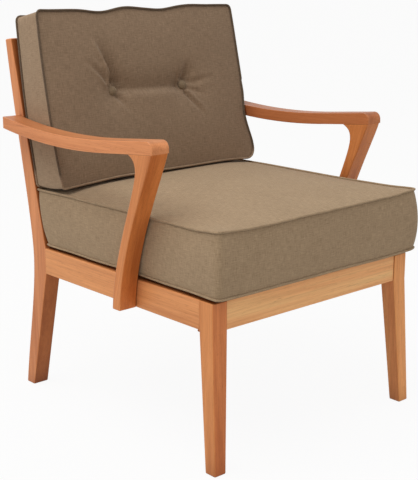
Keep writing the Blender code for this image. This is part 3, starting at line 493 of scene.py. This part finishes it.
def woven_cover(name, colour, mapped=True):
    """A close plain weave of heathered yarn. Its threads follow the cloth's map, or the piece's axes."""
    material = bpy.data.materials.new(name)
    material.use_nodes = True
    tree = material.node_tree
    shader = tree.nodes["Principled BSDF"]
    if mapped:
        place = add_node(tree, "ShaderNodeUVMap", (-1900, 0))
        place.uv_map = "cloth"
        spot = place.outputs["UV"]
    else:
        place = add_node(tree, "ShaderNodeTexCoord", (-1900, 0))
        spot = place.outputs["Object"]
    thread = 0.0015
    scaled = add_node(tree, "ShaderNodeVectorMath", (-1700, 0))
    scaled.operation = "SCALE"
    scaled.inputs["Scale"].default_value = math.pi / thread
    add_link(tree, spot, scaled.inputs[0])
    apart = add_node(tree, "ShaderNodeSeparateXYZ", (-1500, 0))
    add_link(tree, scaled.outputs[0], apart.inputs[0])

    def reckon(operation, first, second, where):
        step = add_node(tree, "ShaderNodeMath", where)
        step.operation = operation
        add_link(tree, first, step.inputs[0])
        if second is not None:
            if isinstance(second, float):
                step.inputs[1].default_value = second
            else:
                add_link(tree, second, step.inputs[1])
        return step.outputs[0]

    warp = reckon("SINE", apart.outputs[0], None, (-1300, 150))
    weft = reckon("SINE", apart.outputs[1], None, (-1300, -150))
    warp_crown = reckon("ABSOLUTE", warp, None, (-1100, 250))
    weft_crown = reckon("ABSOLUTE", weft, None, (-1100, -250))
    over = reckon("MULTIPLY", warp, weft, (-1100, 0))
    over = reckon("MULTIPLY_ADD", over, 0.5, (-900, 0))
    over.node.inputs[2].default_value = 0.5
    height = add_node(tree, "ShaderNodeMix", (-700, 0))
    height.data_type = "FLOAT"
    add_link(tree, over, height.inputs["Factor"])
    add_link(tree, weft_crown, height.inputs["A"])
    add_link(tree, warp_crown, height.inputs["B"])

    red, green, blue = colour
    yarn_along = streaks(tree, spot, (60.0, 640.0, 300.0), 2.0, (-1300, 700))
    yarn_across = streaks(tree, spot, (640.0, 60.0, 300.0), 2.0, (-1300, 500))
    heather = add_node(tree, "ShaderNodeMix", (-850, 600))
    heather.data_type = "FLOAT"
    add_link(tree, over, heather.inputs["Factor"])
    add_link(tree, yarn_along, heather.inputs["A"])
    add_link(tree, yarn_across, heather.inputs["B"])
    dark = (red * 0.70, green * 0.68, blue * 0.66)
    light = (red * 1.30, green * 1.32, blue * 1.36)
    yarn = tones(tree, heather.outputs[0], [(0.30, dark), (0.5, colour), (0.70, light)], (-600, 600))
    cloudy = streaks(tree, spot, (9.0, 9.0, 9.0), 3.0, (-1300, 900))
    shadow = tones(tree, cloudy, [(0.3, (0.90, 0.89, 0.88)), (0.7, (1.0, 1.0, 1.0))], (-850, 900))
    body = blended(tree, "MULTIPLY", 0.8, yarn, shadow, (-300, 700))
    between = [(0.05, (0.62, 0.60, 0.58)), (0.55, (1.0, 1.0, 1.0))]
    hollow = tones(tree, height.outputs[0], between, (-450, 250))
    body = blended(tree, "MULTIPLY", 0.7, body, hollow, (-100, 500))
    add_link(tree, body, shader.inputs["Base Color"])
    shader.inputs["Roughness"].default_value = 0.93
    shader.inputs["Specular IOR Level"].default_value = 0.2
    shader.inputs["Sheen Weight"].default_value = 0.22
    shader.inputs["Sheen Roughness"].default_value = 0.45
    shader.inputs["Sheen Tint"].default_value = (0.95, 0.85, 0.72, 1.0)
    bump = add_node(tree, "ShaderNodeBump", (-300, -200), Strength=0.55, Distance=0.0004)
    add_link(tree, height.outputs[0], bump.inputs["Height"])
    add_link(tree, bump.outputs[0], shader.inputs["Normal"])
    return material


COVER_TONE = (0.385, 0.271, 0.164)
SEAT_PIPING_TONE = tuple(0.98 * part for part in COVER_TONE)
seat_cover = woven_cover("seat_cover_cloth", COVER_TONE)
seat_piping_cloth = woven_cover("seat_piping_cloth", SEAT_PIPING_TONE, mapped=False)
seat_length = SEAT_REAR - SEAT_FRONT
seat_depth = SEAT_TOP_SEAM - SEAT_LOW_SEAM
seat_mesh = boxed_grid("seat_cushion_cover", 2 * SEAT_HALF_WIDTH, seat_length, seat_depth, CLOTH_CELL)
lay_cloth(seat_mesh, 2 * SEAT_HALF_WIDTH, seat_length, seat_depth)
seat_places = [tuple(point.co) for point in seat_mesh.vertices]
seat_held = {}
for index, (p, q, r) in enumerate(seat_places):
    half_x = SEAT_HALF_WIDTH
    half_y = seat_length / 2
    side = "right" if p < 0 else "left"
    corner = SEAT_CORNER[("front_" if q < 0 else "rear_") + side]
    if p > 0 and q < 0:
        corner += SEAT_HEEL_ROUND * ((1 - r) / 2) ** 3
    x, y = round_corner(p * half_x, q * half_y, half_x, half_y, corner)
    x -= p * abs(p) * SEAT_DRAW_IN * (1 - q * q)
    y -= q * abs(q) * SEAT_DRAW_IN * (1 - p * p)
    ear = math.exp(-((abs(p) - 1) ** 2 + (q + 1) ** 2) / SEAT_EAR_SPREAD)
    if p > 0:
        x += (SEAT_EAR_OUT + SEAT_HEEL_OUT * (1 - r) / 2) * ear
    skew = math.exp(-((p + 1) ** 2 + (q + 1) ** 2) / SEAT_SKEW_SPREAD)
    x += SEAT_SKEW[0] * skew
    y += SEAT_SKEW[1] * skew
    y += SEAT_LEAN * (r + 1) / 2 * (q + 1) / 2
    top_seam = seat_depth + SEAT_ROLL * p - SEAT_PITCH * q + SEAT_EAR[side] * ear
    z = SEAT_LOW_SEAM + (r + 1) / 2 * top_seam
    if p > 0:
        z += SEAT_HEEL_LIFT * ear * (1 - r) / 2
    on_edge = max(abs(p), abs(q)) > EDGE
    if on_edge:
        bulge = SEAT_BULGE * (1 - r * r)
        x += bulge * math.copysign(abs(p) ** 9, p)
        y += bulge * math.copysign(abs(q) ** 9, q)
    if r > EDGE:
        z += SEAT_CROWN * (1 - p ** 6) * (1 - q ** 6)
    if r < -EDGE:
        z -= SEAT_BELLY * (1 - p ** 20) * (1 - q ** 20)
    if on_edge and abs(r) > EDGE:
        count = SEAT_WANDER_COUNT
        wander = noise.noise(Vector((x * count, y * count, z * count + 4.0)))
        x += SEAT_WANDER[0] * wander
        z += SEAT_WANDER[1] * wander
    if abs(r) > EDGE and (on_edge or r < 0):
        seat_held[index] = 1.0
    seat_mesh.vertices[index].co = (x, y + (SEAT_REAR + SEAT_FRONT) / 2, z)
# The panels and the boxing are cut from one cloth.
for cloth_piece in (seat_cover, seat_cover):
    seat_mesh.materials.append(cloth_piece)
seat_mesh.shade_smooth()
seat_cushion = bpy.data.objects.new("seat_cushion_cover", seat_mesh)
bpy.context.scene.collection.objects.link(seat_cushion)
stuff(seat_cushion, seat_held, pressure=4.0, cap=0.012)
for point in seat_mesh.vertices:
    if point.co.y > SUPPORT_REACH:
        point.co.x = max(-SUPPORT_CLEAR, min(SUPPORT_CLEAR, point.co.x))
    upright_y, upright_z, upright_slope = UPRIGHT_FRONT
    point.co.y = min(point.co.y, upright_y + upright_slope * (point.co.z - upright_z) - UPRIGHT_CLEAR)
seat_cushion.modifiers.new("soft", "SUBSURF").levels = 1
seat_cushion.modifiers["soft"].render_levels = 1
for level, piping_name, lift in ((1.0, "seat_piping_top", 0.0012), (-1.0, "seat_piping_bottom", -0.0002)):
    seam = seam_points(seat_mesh, seat_places, level)
    rise = Vector((0.0, 0.0, lift))
    seat_piping = sewn_piping(piping_name, seam, SEAT_ACROSS, SEAT_ALONG, rise, seat_piping_cloth)
    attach(seat_piping, "seat_cushion")
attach(seat_cushion, "seat_cushion")
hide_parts("seat_cushion")


# Back cushion. The same boxed and piped cover over a softer filling, thicker at the foot than at the
# head. Two pairs of buttons pull its faces in, and folds run out from them. It stands on the seat
# cushion and leans on the back slats.

# The foot of the cushion's rear face, and the ways across it, up it and out of it.
BACK_FOOT = Vector((0.0, 0.234955, 0.446))
BACK_ACROSS = Vector((1.0, 0.0, 0.0))
BACK_UP = Vector((0.0, math.sin(BACK_LEAN), math.cos(BACK_LEAN)))
BACK_OUT = Vector((0.0, -math.cos(BACK_LEAN), math.sin(BACK_LEAN)))
BACK_HALF_WIDTH = 0.2680
BACK_CELL = 0.0050
# Places up the cushion go from -1 at the foot to 1 at the head. Above such a place, the right side is
# drawn in towards the shoulder and the left side flares out.
BACK_SHRUG = {"front": 0.0150, "rear": 0.0110}
BACK_SHRUG_FROM = -0.5
BACK_FLARE = 0.0085
BACK_FLARE_FROM = -0.35
# The left side is pinched at the arm and swells below it: depth, place and width.
BACK_PINCH = (0.0050, -0.42, 0.20)
BACK_HIP = (0.0040, -0.82, 0.15)
# The arms hold the sides in over this span up the cushion.
ARM_CLEAR = 0.2694
ARM_SPAN = (0.085, 0.185)
BACK_LOW_SEAM = 0.0065
BACK_FOOT_DIP = 0.0030
BACK_FOOT_BULGE = 0.0085
# Sag of each lower corner: depth, share of the half width where it starts, and how steeply it grows.
BACK_SAG = {"right": (0.0093, 0.45, 1.2), "left": (0.0055, 0.60, 2.0)}
# Waves of the top seam in front: rise, place across, from -1 to 1, and width.
BACK_WAVES = [(-0.0045, -0.39, 0.16), (0.0048, -0.12, 0.16), (-0.0034, 0.24, 0.13), (0.0052, 0.53, 0.18)]
BACK_WAVE_FROM = 0.6
BACK_HIGH_SEAM = 0.3570
BACK_REAR_SEAM = 0.0034
BACK_FOOT_THICK = 0.0950
BACK_HEAD_THICK = 0.0735
BACK_CORNER = 0.010
BACK_LOW_CORNER = {"right": 0.005, "left": 0.022}
# Columns of cells at each side that settle as the next one inside them does.
BACK_CORNER_COLUMNS = 7
BACK_CROWN = 0.009
BACK_REAR_BELLY = 0.0030
BACK_DRAW_IN = 0.004
# Its seams wander too, across and up. At the foot, below a place, only a share of the way up is left.
BACK_WANDER = (0.0016, 0.0045)
BACK_WANDER_COUNT = 8.0
BACK_FOOT_BAND = -0.9
BACK_FOOT_WANDER = 0.2
# The front panel, which the folds press in, ends a little inside its seams.
BACK_PANEL_EDGE = 0.97
# The foot settles on the seat, and the part of the cushion below this place goes down with it.
BACK_SETTLE_FROM = -0.4
BACK_REST_GAP = 0.0012
# A height from which the top of the seat is looked for.
ABOVE_SEAT = 0.6
BUTTON_SPREAD = 0.097
BUTTON_RISE = 0.182
BUTTON_SEAT = 0.0765
BUTTON_RADIUS = 0.0108
REAR_BUTTON_SEAT = 0.0080
# How far round a button the cloth is drawn in, in front and behind, and how much of it is held fast.
BUTTON_PULL = 0.050
BUTTON_PULL_SHARE = 1.06
REAR_BUTTON_PULL = 0.022
BUTTON_HOLD = 0.009
# Each fold: start, bend and end on the face, depth, width to its left and right, and its raised lips.
BACK_FOLDS = [
    ((-0.098, 0.192), (-0.098, 0.240), (-0.134, 0.306), 0.0230, 0.0046, 0.0210, 0.45),
    ((-0.103, 0.190), (-0.124, 0.224), (-0.176, 0.256), 0.0070, 0.0046, 0.0075, 0.30),
    ((-0.101, 0.194), (-0.113, 0.228), (-0.154, 0.282), 0.0032, 0.0040, 0.0048, 0.30),
    ((-0.091, 0.173), (-0.076, 0.160), (-0.064, 0.122), 0.0065, 0.0060, 0.0055, 0.30),
    ((-0.092, 0.186), (-0.078, 0.190), (-0.036, 0.186), 0.0060, 0.0200, 0.0050, 0.0),
    ((0.099, 0.190), (0.108, 0.210), (0.120, 0.244), 0.0135, 0.0100, 0.0170, 0.0),
    ((0.100, 0.172), (0.120, 0.148), (0.164, 0.100), -0.0045, 0.0055, 0.0055, 0.0),
    ((0.097, 0.170), (0.110, 0.142), (0.152, 0.092), 0.0080, 0.0045, 0.0045, 0.0),
    ((0.106, 0.183), (0.150, 0.192), (0.205, 0.197), 0.0032, 0.0060, 0.0060, 0.30),
    ((0.107, 0.176), (0.126, 0.166), (0.166, 0.149), 0.0032, 0.0042, 0.0042, 0.40),
]
# A fold deepens over this share of its way. Only folds narrower than a width have lips, and these stand
# a few widths off.
FOLD_RAMP = 0.10
FOLD_LIP_LIMIT = 0.008
FOLD_LIP_AWAY = 2.1
# The valley between the buttons is given in the same way, with how sharp its crease is at the end. It
# deepens this many times faster than its way runs, from either end.
VALLEY_RAMP = 12
BACK_VALLEY = ((-0.097, 0.185), (0.0, 0.179), (0.097, 0.181), 0.0125, 0.0240, 0.0080, 0.0, 1.5)


def back_place(x, up, out):
    return BACK_FOOT + BACK_ACROSS * x + BACK_UP * up + BACK_OUT * out


def swell(at, size, middle, width):
    """A smooth hump of a given size about a middle."""
    return size * math.exp(-((at - middle) / width) ** 2)


def fold_line(start, bend, end, count=24):
    """Points of a fold's curve, each with its share of the way."""
    line = []
    for step in range(count + 1):
        t = step / count
        x = (1 - t) ** 2 * start[0] + 2 * t * (1 - t) * bend[0] + t * t * end[0]
        up = (1 - t) ** 2 * start[1] + 2 * t * (1 - t) * bend[1] + t * t * end[1]
        line.append((x, up, t))
    return line


def fold_press(x, up, line, left_width, right_width, lips, sharpness=2.0):
    """How deep a fold is at a point, as a share, and how far along the fold that is."""
    apart, nearest = min((math.hypot(x - fold[0], up - fold[1]), step) for step, fold in enumerate(line))
    before, after = line[max(0, nearest - 1)], line[min(len(line) - 1, nearest + 1)]
    on_left = (after[0] - before[0]) * (up - before[1]) - (after[1] - before[1]) * (x - before[0]) > 0
    width = left_width if on_left else right_width
    lip = swell(apart, lips, FOLD_LIP_AWAY * width, width) if width < FOLD_LIP_LIMIT else 0.0
    return math.exp(-(apart / width) ** sharpness) - lip, line[nearest][2]


def fold_depth(x, up):
    """How far the folds and the valley between the buttons press the cloth in at a point."""
    press, share = fold_press(x, up, valley_line, *BACK_VALLEY[4:])
    total = BACK_VALLEY[3] * press * min(1.0, VALLEY_RAMP * share, VALLEY_RAMP * (1 - share))
    for line, (depth, *widths) in fold_lines:
        press, share = fold_press(x, up, line, *widths)
        total += depth * press * min(1.0, share / FOLD_RAMP) * (1 - share * share) ** 2
    return total


def shade_above_foot(material, unshaded_top, shaded_from, share):
    """Painted shade: darkens the piping above a height, everywhere but along the foot, where it stays pale.
    """
    tree = material.node_tree
    shader = tree.nodes["Principled BSDF"]
    unshaded_colour = shader.inputs["Base Color"].links[0].from_socket
    place = add_node(tree, "ShaderNodeTexCoord", (-700, 1300))
    apart = add_node(tree, "ShaderNodeSeparateXYZ", (-500, 1300))
    add_link(tree, place.outputs["Object"], apart.inputs[0])
    shade_ramp = add_node(tree, "ShaderNodeMapRange", (-300, 1300), From_Min=unshaded_top, From_Max=shaded_from)
    add_link(tree, apart.outputs["Z"], shade_ramp.inputs["Value"])
    stops = [(0.0, (1.0, 1.0, 1.0)), (1.0, (share, share, share))]
    painted_shade = tones(tree, shade_ramp.outputs["Result"], stops, (-100, 1300))
    add_link(tree, blended(tree, "MULTIPLY", 1.0, unshaded_colour, painted_shade, (150, 900)), shader.inputs["Base Color"])


# Painted light and shade on one cloth: the back's panels take a darker tone than the seat's cover, as
# painted shade, and its boxing a paler one, as painted light.
SHADED_BACK_TONE = (0.262, 0.176, 0.111)
LIT_BOXING_TONE = (0.350, 0.240, 0.151)
# The piping is paler than the panels, as painted light along the foot; above the foot it is darkened as
# painted shade.
BACK_PIPING_TONE = tuple(1.15 * part for part in SHADED_BACK_TONE)
back_cover = woven_cover("back_cover_cloth", SHADED_BACK_TONE)
back_boxing = woven_cover("back_boxing_cloth", LIT_BOXING_TONE)
back_piping_cloth = woven_cover("back_piping_cloth", BACK_PIPING_TONE, mapped=False)
shade_above_foot(back_piping_cloth, unshaded_top=0.476, shaded_from=0.490, share=0.40)
back_length = BACK_HIGH_SEAM - BACK_LOW_SEAM
back_thick = (BACK_FOOT_THICK + BACK_HEAD_THICK) / 2 - BACK_REAR_SEAM
back_mesh = boxed_grid("back_cushion_cover", 2 * BACK_HALF_WIDTH, back_length, back_thick, BACK_CELL)
lay_cloth(back_mesh, 2 * BACK_HALF_WIDTH, back_length, back_thick)
back_places = [tuple(round(part, 4) for part in point.co) for point in back_mesh.vertices]
back_held = {}
panel = back_mesh.attributes.new("front_panel", "FLOAT", "POINT")
for index, (p, q, r) in enumerate(back_places):
    half_x = BACK_HALF_WIDTH
    half_up = back_length / 2
    side = "right" if p < 0 else "left"
    corner = BACK_LOW_CORNER[side] if q < 0 else BACK_CORNER
    x, up = round_corner(p * half_x, q * half_up, half_x, half_up, corner)
    full_shrug = (BACK_SHRUG["front"] * (1 + r) + BACK_SHRUG["rear"] * (1 - r)) / 2
    shrug = full_shrug * max(0.0, (q - BACK_SHRUG_FROM) / (1 - BACK_SHRUG_FROM)) ** 1.8 * (1 - p) / 2
    flare = BACK_FLARE * max(0.0, (q - BACK_FLARE_FROM) / (1 - BACK_FLARE_FROM)) ** 0.8 * (1 + p) / 2
    pinch = swell(q, *BACK_PINCH) * (1 + p) / 2
    hip = swell(q, *BACK_HIP) * (1 + p) / 2
    x += (shrug + flare - pinch + hip) * abs(p)
    if q > 0:
        up -= q * q * BACK_DRAW_IN * (1 - p * p)
    sag_depth, sag_start, sag_growth = BACK_SAG[side]
    sag = sag_depth * max(0.0, (abs(p) - sag_start) / (1 - sag_start)) ** sag_growth * ((1 - q) / 2) ** 3
    wave = sum(swell(p, *seam_wave) for seam_wave in BACK_WAVES)
    up += wave * max(0.0, (q - BACK_WAVE_FROM) / (1 - BACK_WAVE_FROM)) ** 2 * (1 + r) / 2
    up += BACK_LOW_SEAM + half_up - (1 + r) / 2 * (BACK_FOOT_DIP * (1 - q) / 2 + sag)
    front = BACK_FOOT_THICK + (BACK_HEAD_THICK - BACK_FOOT_THICK) * (q + 1) / 2
    out = BACK_REAR_SEAM + (r + 1) / 2 * (front - BACK_REAR_SEAM)
    on_edge = max(abs(p), abs(q)) > EDGE
    from_button = math.hypot(abs(x) - BUTTON_SPREAD, up - BUTTON_RISE)
    if r > EDGE:
        out += BACK_CROWN * (1 - p ** 4) * (1 - q ** 4)
        pulled = math.exp(-from_button / BUTTON_PULL * (1 + from_button / BUTTON_PULL))
        out += (BUTTON_SEAT - out) * min(1.0, BUTTON_PULL_SHARE * pulled)
    if r < -EDGE:
        out -= BACK_REAR_BELLY * (1 - p ** 20) * (1 - q ** 20)
        out += swell(from_button, REAR_BUTTON_SEAT, 0.0, REAR_BUTTON_PULL)
    if on_edge and abs(r) > EDGE:
        count = BACK_WANDER_COUNT
        wander = noise.noise(Vector((x * count, up * count, r * 3.0 + 9.0)))
        x += BACK_WANDER[0] * wander
        up += BACK_WANDER[1] * wander * (1 if q > BACK_FOOT_BAND else BACK_FOOT_WANDER)
    if abs(r) > EDGE and (on_edge or r < 0 or from_button < BUTTON_HOLD):
        back_held[index] = 1.0
    panel.data[index].value = 1.0 if r > EDGE and max(abs(p), abs(q)) < BACK_PANEL_EDGE else 0.0
    back_mesh.vertices[index].co = back_place(x, up, out)
for cloth_piece in (back_cover, back_boxing):
    back_mesh.materials.append(cloth_piece)
back_mesh.shade_smooth()
back_cushion = bpy.data.objects.new("back_cushion_cover", back_mesh)
bpy.context.scene.collection.objects.link(back_cushion)
stuff(back_cushion, back_held, pressure=3.5, cap=0.012)
seat_top = BVHTree.FromPolygons([point.co for point in seat_mesh.vertices],
                                [tuple(face.vertices) for face in seat_mesh.polygons])
columns = sorted({place[0] for place in back_places})
layers = sorted({place[2] for place in back_places}, reverse=True)
inside = columns[BACK_CORNER_COLUMNS:-BACK_CORNER_COLUMNS]
feet = {(p, r): point.co for point, (p, q, r) in zip(back_mesh.vertices, back_places) if q < -EDGE}
sinks = {}
for p in inside:
    for r in layers:
        spot = feet[(p, r)]
        sink = -BACK_FOOT_BULGE * (1 - r * r) * (1 - p ** 4)
        landing = seat_top.ray_cast(Vector((spot.x, spot.y, ABOVE_SEAT)), Vector((0.0, 0.0, -1.0)))[0]
        if landing is not None:
            sink = max(sink, landing.z + BACK_REST_GAP - spot.z)
        sinks[(p, r)] = sink
for point, (p, q, r) in zip(back_mesh.vertices, back_places):
    if q < BACK_SETTLE_FROM:
        fade = (BACK_SETTLE_FROM - q) / (1 + BACK_SETTLE_FROM)
        sink = sinks[(max(inside[0], min(inside[-1], p)), r)]
        point.co.z += sink * fade * fade * (3 - 2 * fade)
for point in back_mesh.vertices:
    up = (point.co - BACK_FOOT).dot(BACK_UP)
    if ARM_SPAN[0] < up < ARM_SPAN[1]:
        point.co.x = max(-ARM_CLEAR, min(ARM_CLEAR, point.co.x))
back_seams = {level: seam_points(back_mesh, back_places, level) for level in (1.0, -1.0)}
back_cushion.modifiers.new("soft", "SUBSURF").levels = 1
smoothed = back_cushion.evaluated_get(bpy.context.evaluated_depsgraph_get())
fine_mesh = bpy.data.meshes.new_from_object(smoothed)
back_cushion.modifiers.clear()
back_cushion.data = fine_mesh
fold_lines = [(fold_line(*fold[:3]), fold[3:]) for fold in BACK_FOLDS]
valley_line = fold_line(*BACK_VALLEY[:3])
front_panel = fine_mesh.attributes["front_panel"].data
for point, share in zip(fine_mesh.vertices, front_panel):
    if share.value > 0.01:
        up = (point.co - BACK_FOOT).dot(BACK_UP)
        point.co -= BACK_OUT * (share.value * fold_depth(point.co.x, up))
for level, piping_name, lift in ((1.0, "back_piping_front", 0.0014), (-1.0, "back_piping_rear", -0.0004)):
    rise = BACK_OUT * lift
    back_piping = sewn_piping(piping_name, back_seams[level], BACK_ACROSS, BACK_UP, rise, back_piping_cloth)
    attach(back_piping, "back_cushion")
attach(back_cushion, "back_cushion")
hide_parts("back_cushion")


# Buttons and cords. Metal shells covered with the cloth, gathered behind the rim, one in each face of
# the back cushion. A waxed cord ties each pair together through the filling.

def covered_button(name, x, base, way, material):
    """A domed button on the back cushion, its rim drawn in where the cloth is gathered."""
    rings = [(0.0, 0.0086), (0.30, 0.0083), (0.55, 0.0074), (0.76, 0.0060), (0.91, 0.0042), (0.99, 0.0024),
             (1.0, 0.0012), (0.94, 0.0003), (0.80, 0.0)]
    spokes = 36
    shape = bmesh.new()
    map_layer = shape.loops.layers.uv.new("cloth")
    top = shape.verts.new(back_place(x, BUTTON_RISE, base + way * rings[0][1]))
    rows = []
    for share, height in rings[1:]:
        row = []
        for spoke in range(spokes):
            angle = 2 * math.pi * spoke / spokes
            gather = 1 - 0.05 * share ** 6 * (1 + math.cos(9 * angle)) / 2
            reach = share * BUTTON_RADIUS * gather
            spot = back_place(x + reach * math.cos(angle), BUTTON_RISE + reach * math.sin(angle),
                              base + way * height)
            row.append(shape.verts.new(spot))
        rows.append(row)
    for spoke in range(spokes):
        after = (spoke + 1) % spokes
        shape.faces.new((top, rows[0][spoke], rows[0][after]))
        for inner, outer in zip(rows, rows[1:]):
            shape.faces.new((inner[spoke], outer[spoke], outer[after], inner[after]))
    shape.faces.new(list(reversed(rows[-1])))
    bmesh.ops.recalc_face_normals(shape, faces=shape.faces)
    for face in shape.faces:
        for corner in face.loops:
            apart = corner.vert.co - BACK_FOOT
            corner[map_layer].uv = (apart.x, apart.dot(BACK_UP))
    mesh = bpy.data.meshes.new(name)
    shape.to_mesh(mesh)
    shape.free()
    mesh.materials.append(material)
    mesh.shade_smooth()
    button = bpy.data.objects.new(name, mesh)
    bpy.context.scene.collection.objects.link(button)
    return button


BUTTON_TONE = tuple(0.58 * part for part in COVER_TONE)
button_cloth = woven_cover("button_cloth", BUTTON_TONE)
for side, sign in (("right", -1), ("left", 1)):
    for face, base, way in (("front", BUTTON_SEAT, 1), ("rear", REAR_BUTTON_SEAT, -1)):
        button_name = "covered_button_%s_%s" % (face, side)
        button = covered_button(button_name, sign * BUTTON_SPREAD, base, way, button_cloth)
        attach(button, "back_cushion")
        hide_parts("button_%s_%s" % (face, side))


def waxed_cord(name):
    material = bpy.data.materials.new(name)
    material.use_nodes = True
    tree = material.node_tree
    shader = tree.nodes["Principled BSDF"]
    place = add_node(tree, "ShaderNodeTexCoord", (-900, 0))
    twist = streaks(tree, place.outputs["Object"], (700.0, 1400.0, 1400.0), 2.0, (-700, 0))
    flax = tones(tree, twist, [(0.3, (0.42, 0.36, 0.28)), (0.7, (0.60, 0.54, 0.44))], (-300, 100))
    add_link(tree, flax, shader.inputs["Base Color"])
    shader.inputs["Roughness"].default_value = 0.7
    return material


CORD = waxed_cord("waxed_flax")
for side in ("right", "left"):
    cord = wood_piece["tuft_cord_" + side]
    cord.data.materials.clear()
    cord.data.materials.append(CORD)


# Floor, light and camera. A plain pale studio floor and sweep, a large soft lamp high on the sitter's
# right, even light from all round, and a long lens at the height of the back.

FLOOR_GREY = (0.72, 0.72, 0.72, 1.0)
FLOOR_WHITE_SHARE = 0.93
FLOOR_SIZE = 80.0
FLOOR_DROP = 0.0005
PURE_WHITE = (1.0, 1.0, 1.0, 1.0)
SKY_TINT = (1.0, 0.985, 0.96, 1.0)
SKY_STRENGTH = 0.62


def plainly_seen(tree):
    """1 for rays that show the ground itself: from the camera, by reflection or through glass."""
    ray = add_node(tree, "ShaderNodeLightPath", (-200, 300))
    seen = add_node(tree, "ShaderNodeMath", (0, 300))
    seen.operation = "MAXIMUM"
    add_link(tree, ray.outputs["Is Camera Ray"], seen.inputs[0])
    add_link(tree, ray.outputs["Is Glossy Ray"], seen.inputs[1])
    clear = add_node(tree, "ShaderNodeMath", (150, 300))
    clear.operation = "MAXIMUM"
    add_link(tree, seen.outputs[0], clear.inputs[0])
    add_link(tree, ray.outputs["Is Transmission Ray"], clear.inputs[1])
    return clear.outputs[0]


def mixed_light(tree, share, under, over, place):
    """A mix of two shaders by a share."""
    mix = add_node(tree, "ShaderNodeMixShader", place)
    add_link(tree, share, mix.inputs[0])
    add_link(tree, under.outputs[0], mix.inputs[1])
    add_link(tree, over.outputs[0], mix.inputs[2])
    return mix.outputs[0]


def pale_floor(name):
    """Matt grey that takes the shadow, nearly hidden by plain white where it is seen."""
    material = bpy.data.materials.new(name)
    material.use_nodes = True
    tree = material.node_tree
    tree.nodes.clear()
    out = add_node(tree, "ShaderNodeOutputMaterial", (600, 0))
    matt = add_node(tree, "ShaderNodeBsdfDiffuse", (0, 0), Color=FLOOR_GREY)
    white = add_node(tree, "ShaderNodeEmission", (0, -150), Color=PURE_WHITE, Strength=1.0)
    share = add_node(tree, "ShaderNodeMath", (300, 300))
    share.operation = "MULTIPLY"
    share.inputs[1].default_value = FLOOR_WHITE_SHARE
    add_link(tree, plainly_seen(tree), share.inputs[0])
    add_link(tree, mixed_light(tree, share.outputs[0], matt, white, (400, 0)), out.inputs["Surface"])
    return material


floor_shape = bmesh.new()
bmesh.ops.create_grid(floor_shape, x_segments=4, y_segments=4, size=FLOOR_SIZE)
floor_mesh = bpy.data.meshes.new("floor")
floor_shape.to_mesh(floor_mesh)
floor_shape.free()
floor_mesh.materials.append(pale_floor("floor_paint"))
floor = bpy.data.objects.new("floor", floor_mesh)
floor.location = (0.0, 0.0, -FLOOR_DROP)
bpy.context.scene.collection.objects.link(floor)

world = bpy.data.worlds.new("studio")
bpy.context.scene.world = world
world.use_nodes = True
sky = world.node_tree
sky.nodes.clear()
sky_out = add_node(sky, "ShaderNodeOutputWorld", (600, 0))
soft_light = add_node(sky, "ShaderNodeBackground", (0, 0), Color=SKY_TINT, Strength=SKY_STRENGTH)
white_sweep = add_node(sky, "ShaderNodeBackground", (0, -150), Color=PURE_WHITE, Strength=1.0)
sky_mix = mixed_light(sky, plainly_seen(sky), soft_light, white_sweep, (300, 0))
add_link(sky, sky_mix, sky_out.inputs["Surface"])


def soft_box(name, place, aim, size, power):
    lamp = bpy.data.lights.new(name, "AREA")
    lamp.shape = "DISK"
    lamp.size = size
    lamp.energy = power
    holder = bpy.data.objects.new(name, lamp)
    holder.location = place
    holder.rotation_euler = (Vector(aim) - Vector(place)).to_track_quat("-Z", "Y").to_euler()
    bpy.context.scene.collection.objects.link(holder)


soft_box("key_lamp", place=(-1.3, 0.0, 3.30), aim=(0.0, 0.0, 0.4), size=2.8, power=62.0)

lens = bpy.data.cameras.new("camera")
lens.lens = 80.4
lens.sensor_width = 36.0
camera = bpy.data.objects.new("camera", lens)
camera.location = (-1.4667, -1.6399, 0.8891)
camera.rotation_euler = (math.radians(75.88), 0.0, math.radians(-41.85))
bpy.context.scene.collection.objects.link(camera)
bpy.context.scene.camera = camera
bpy.context.scene.view_settings.view_transform = "Standard"
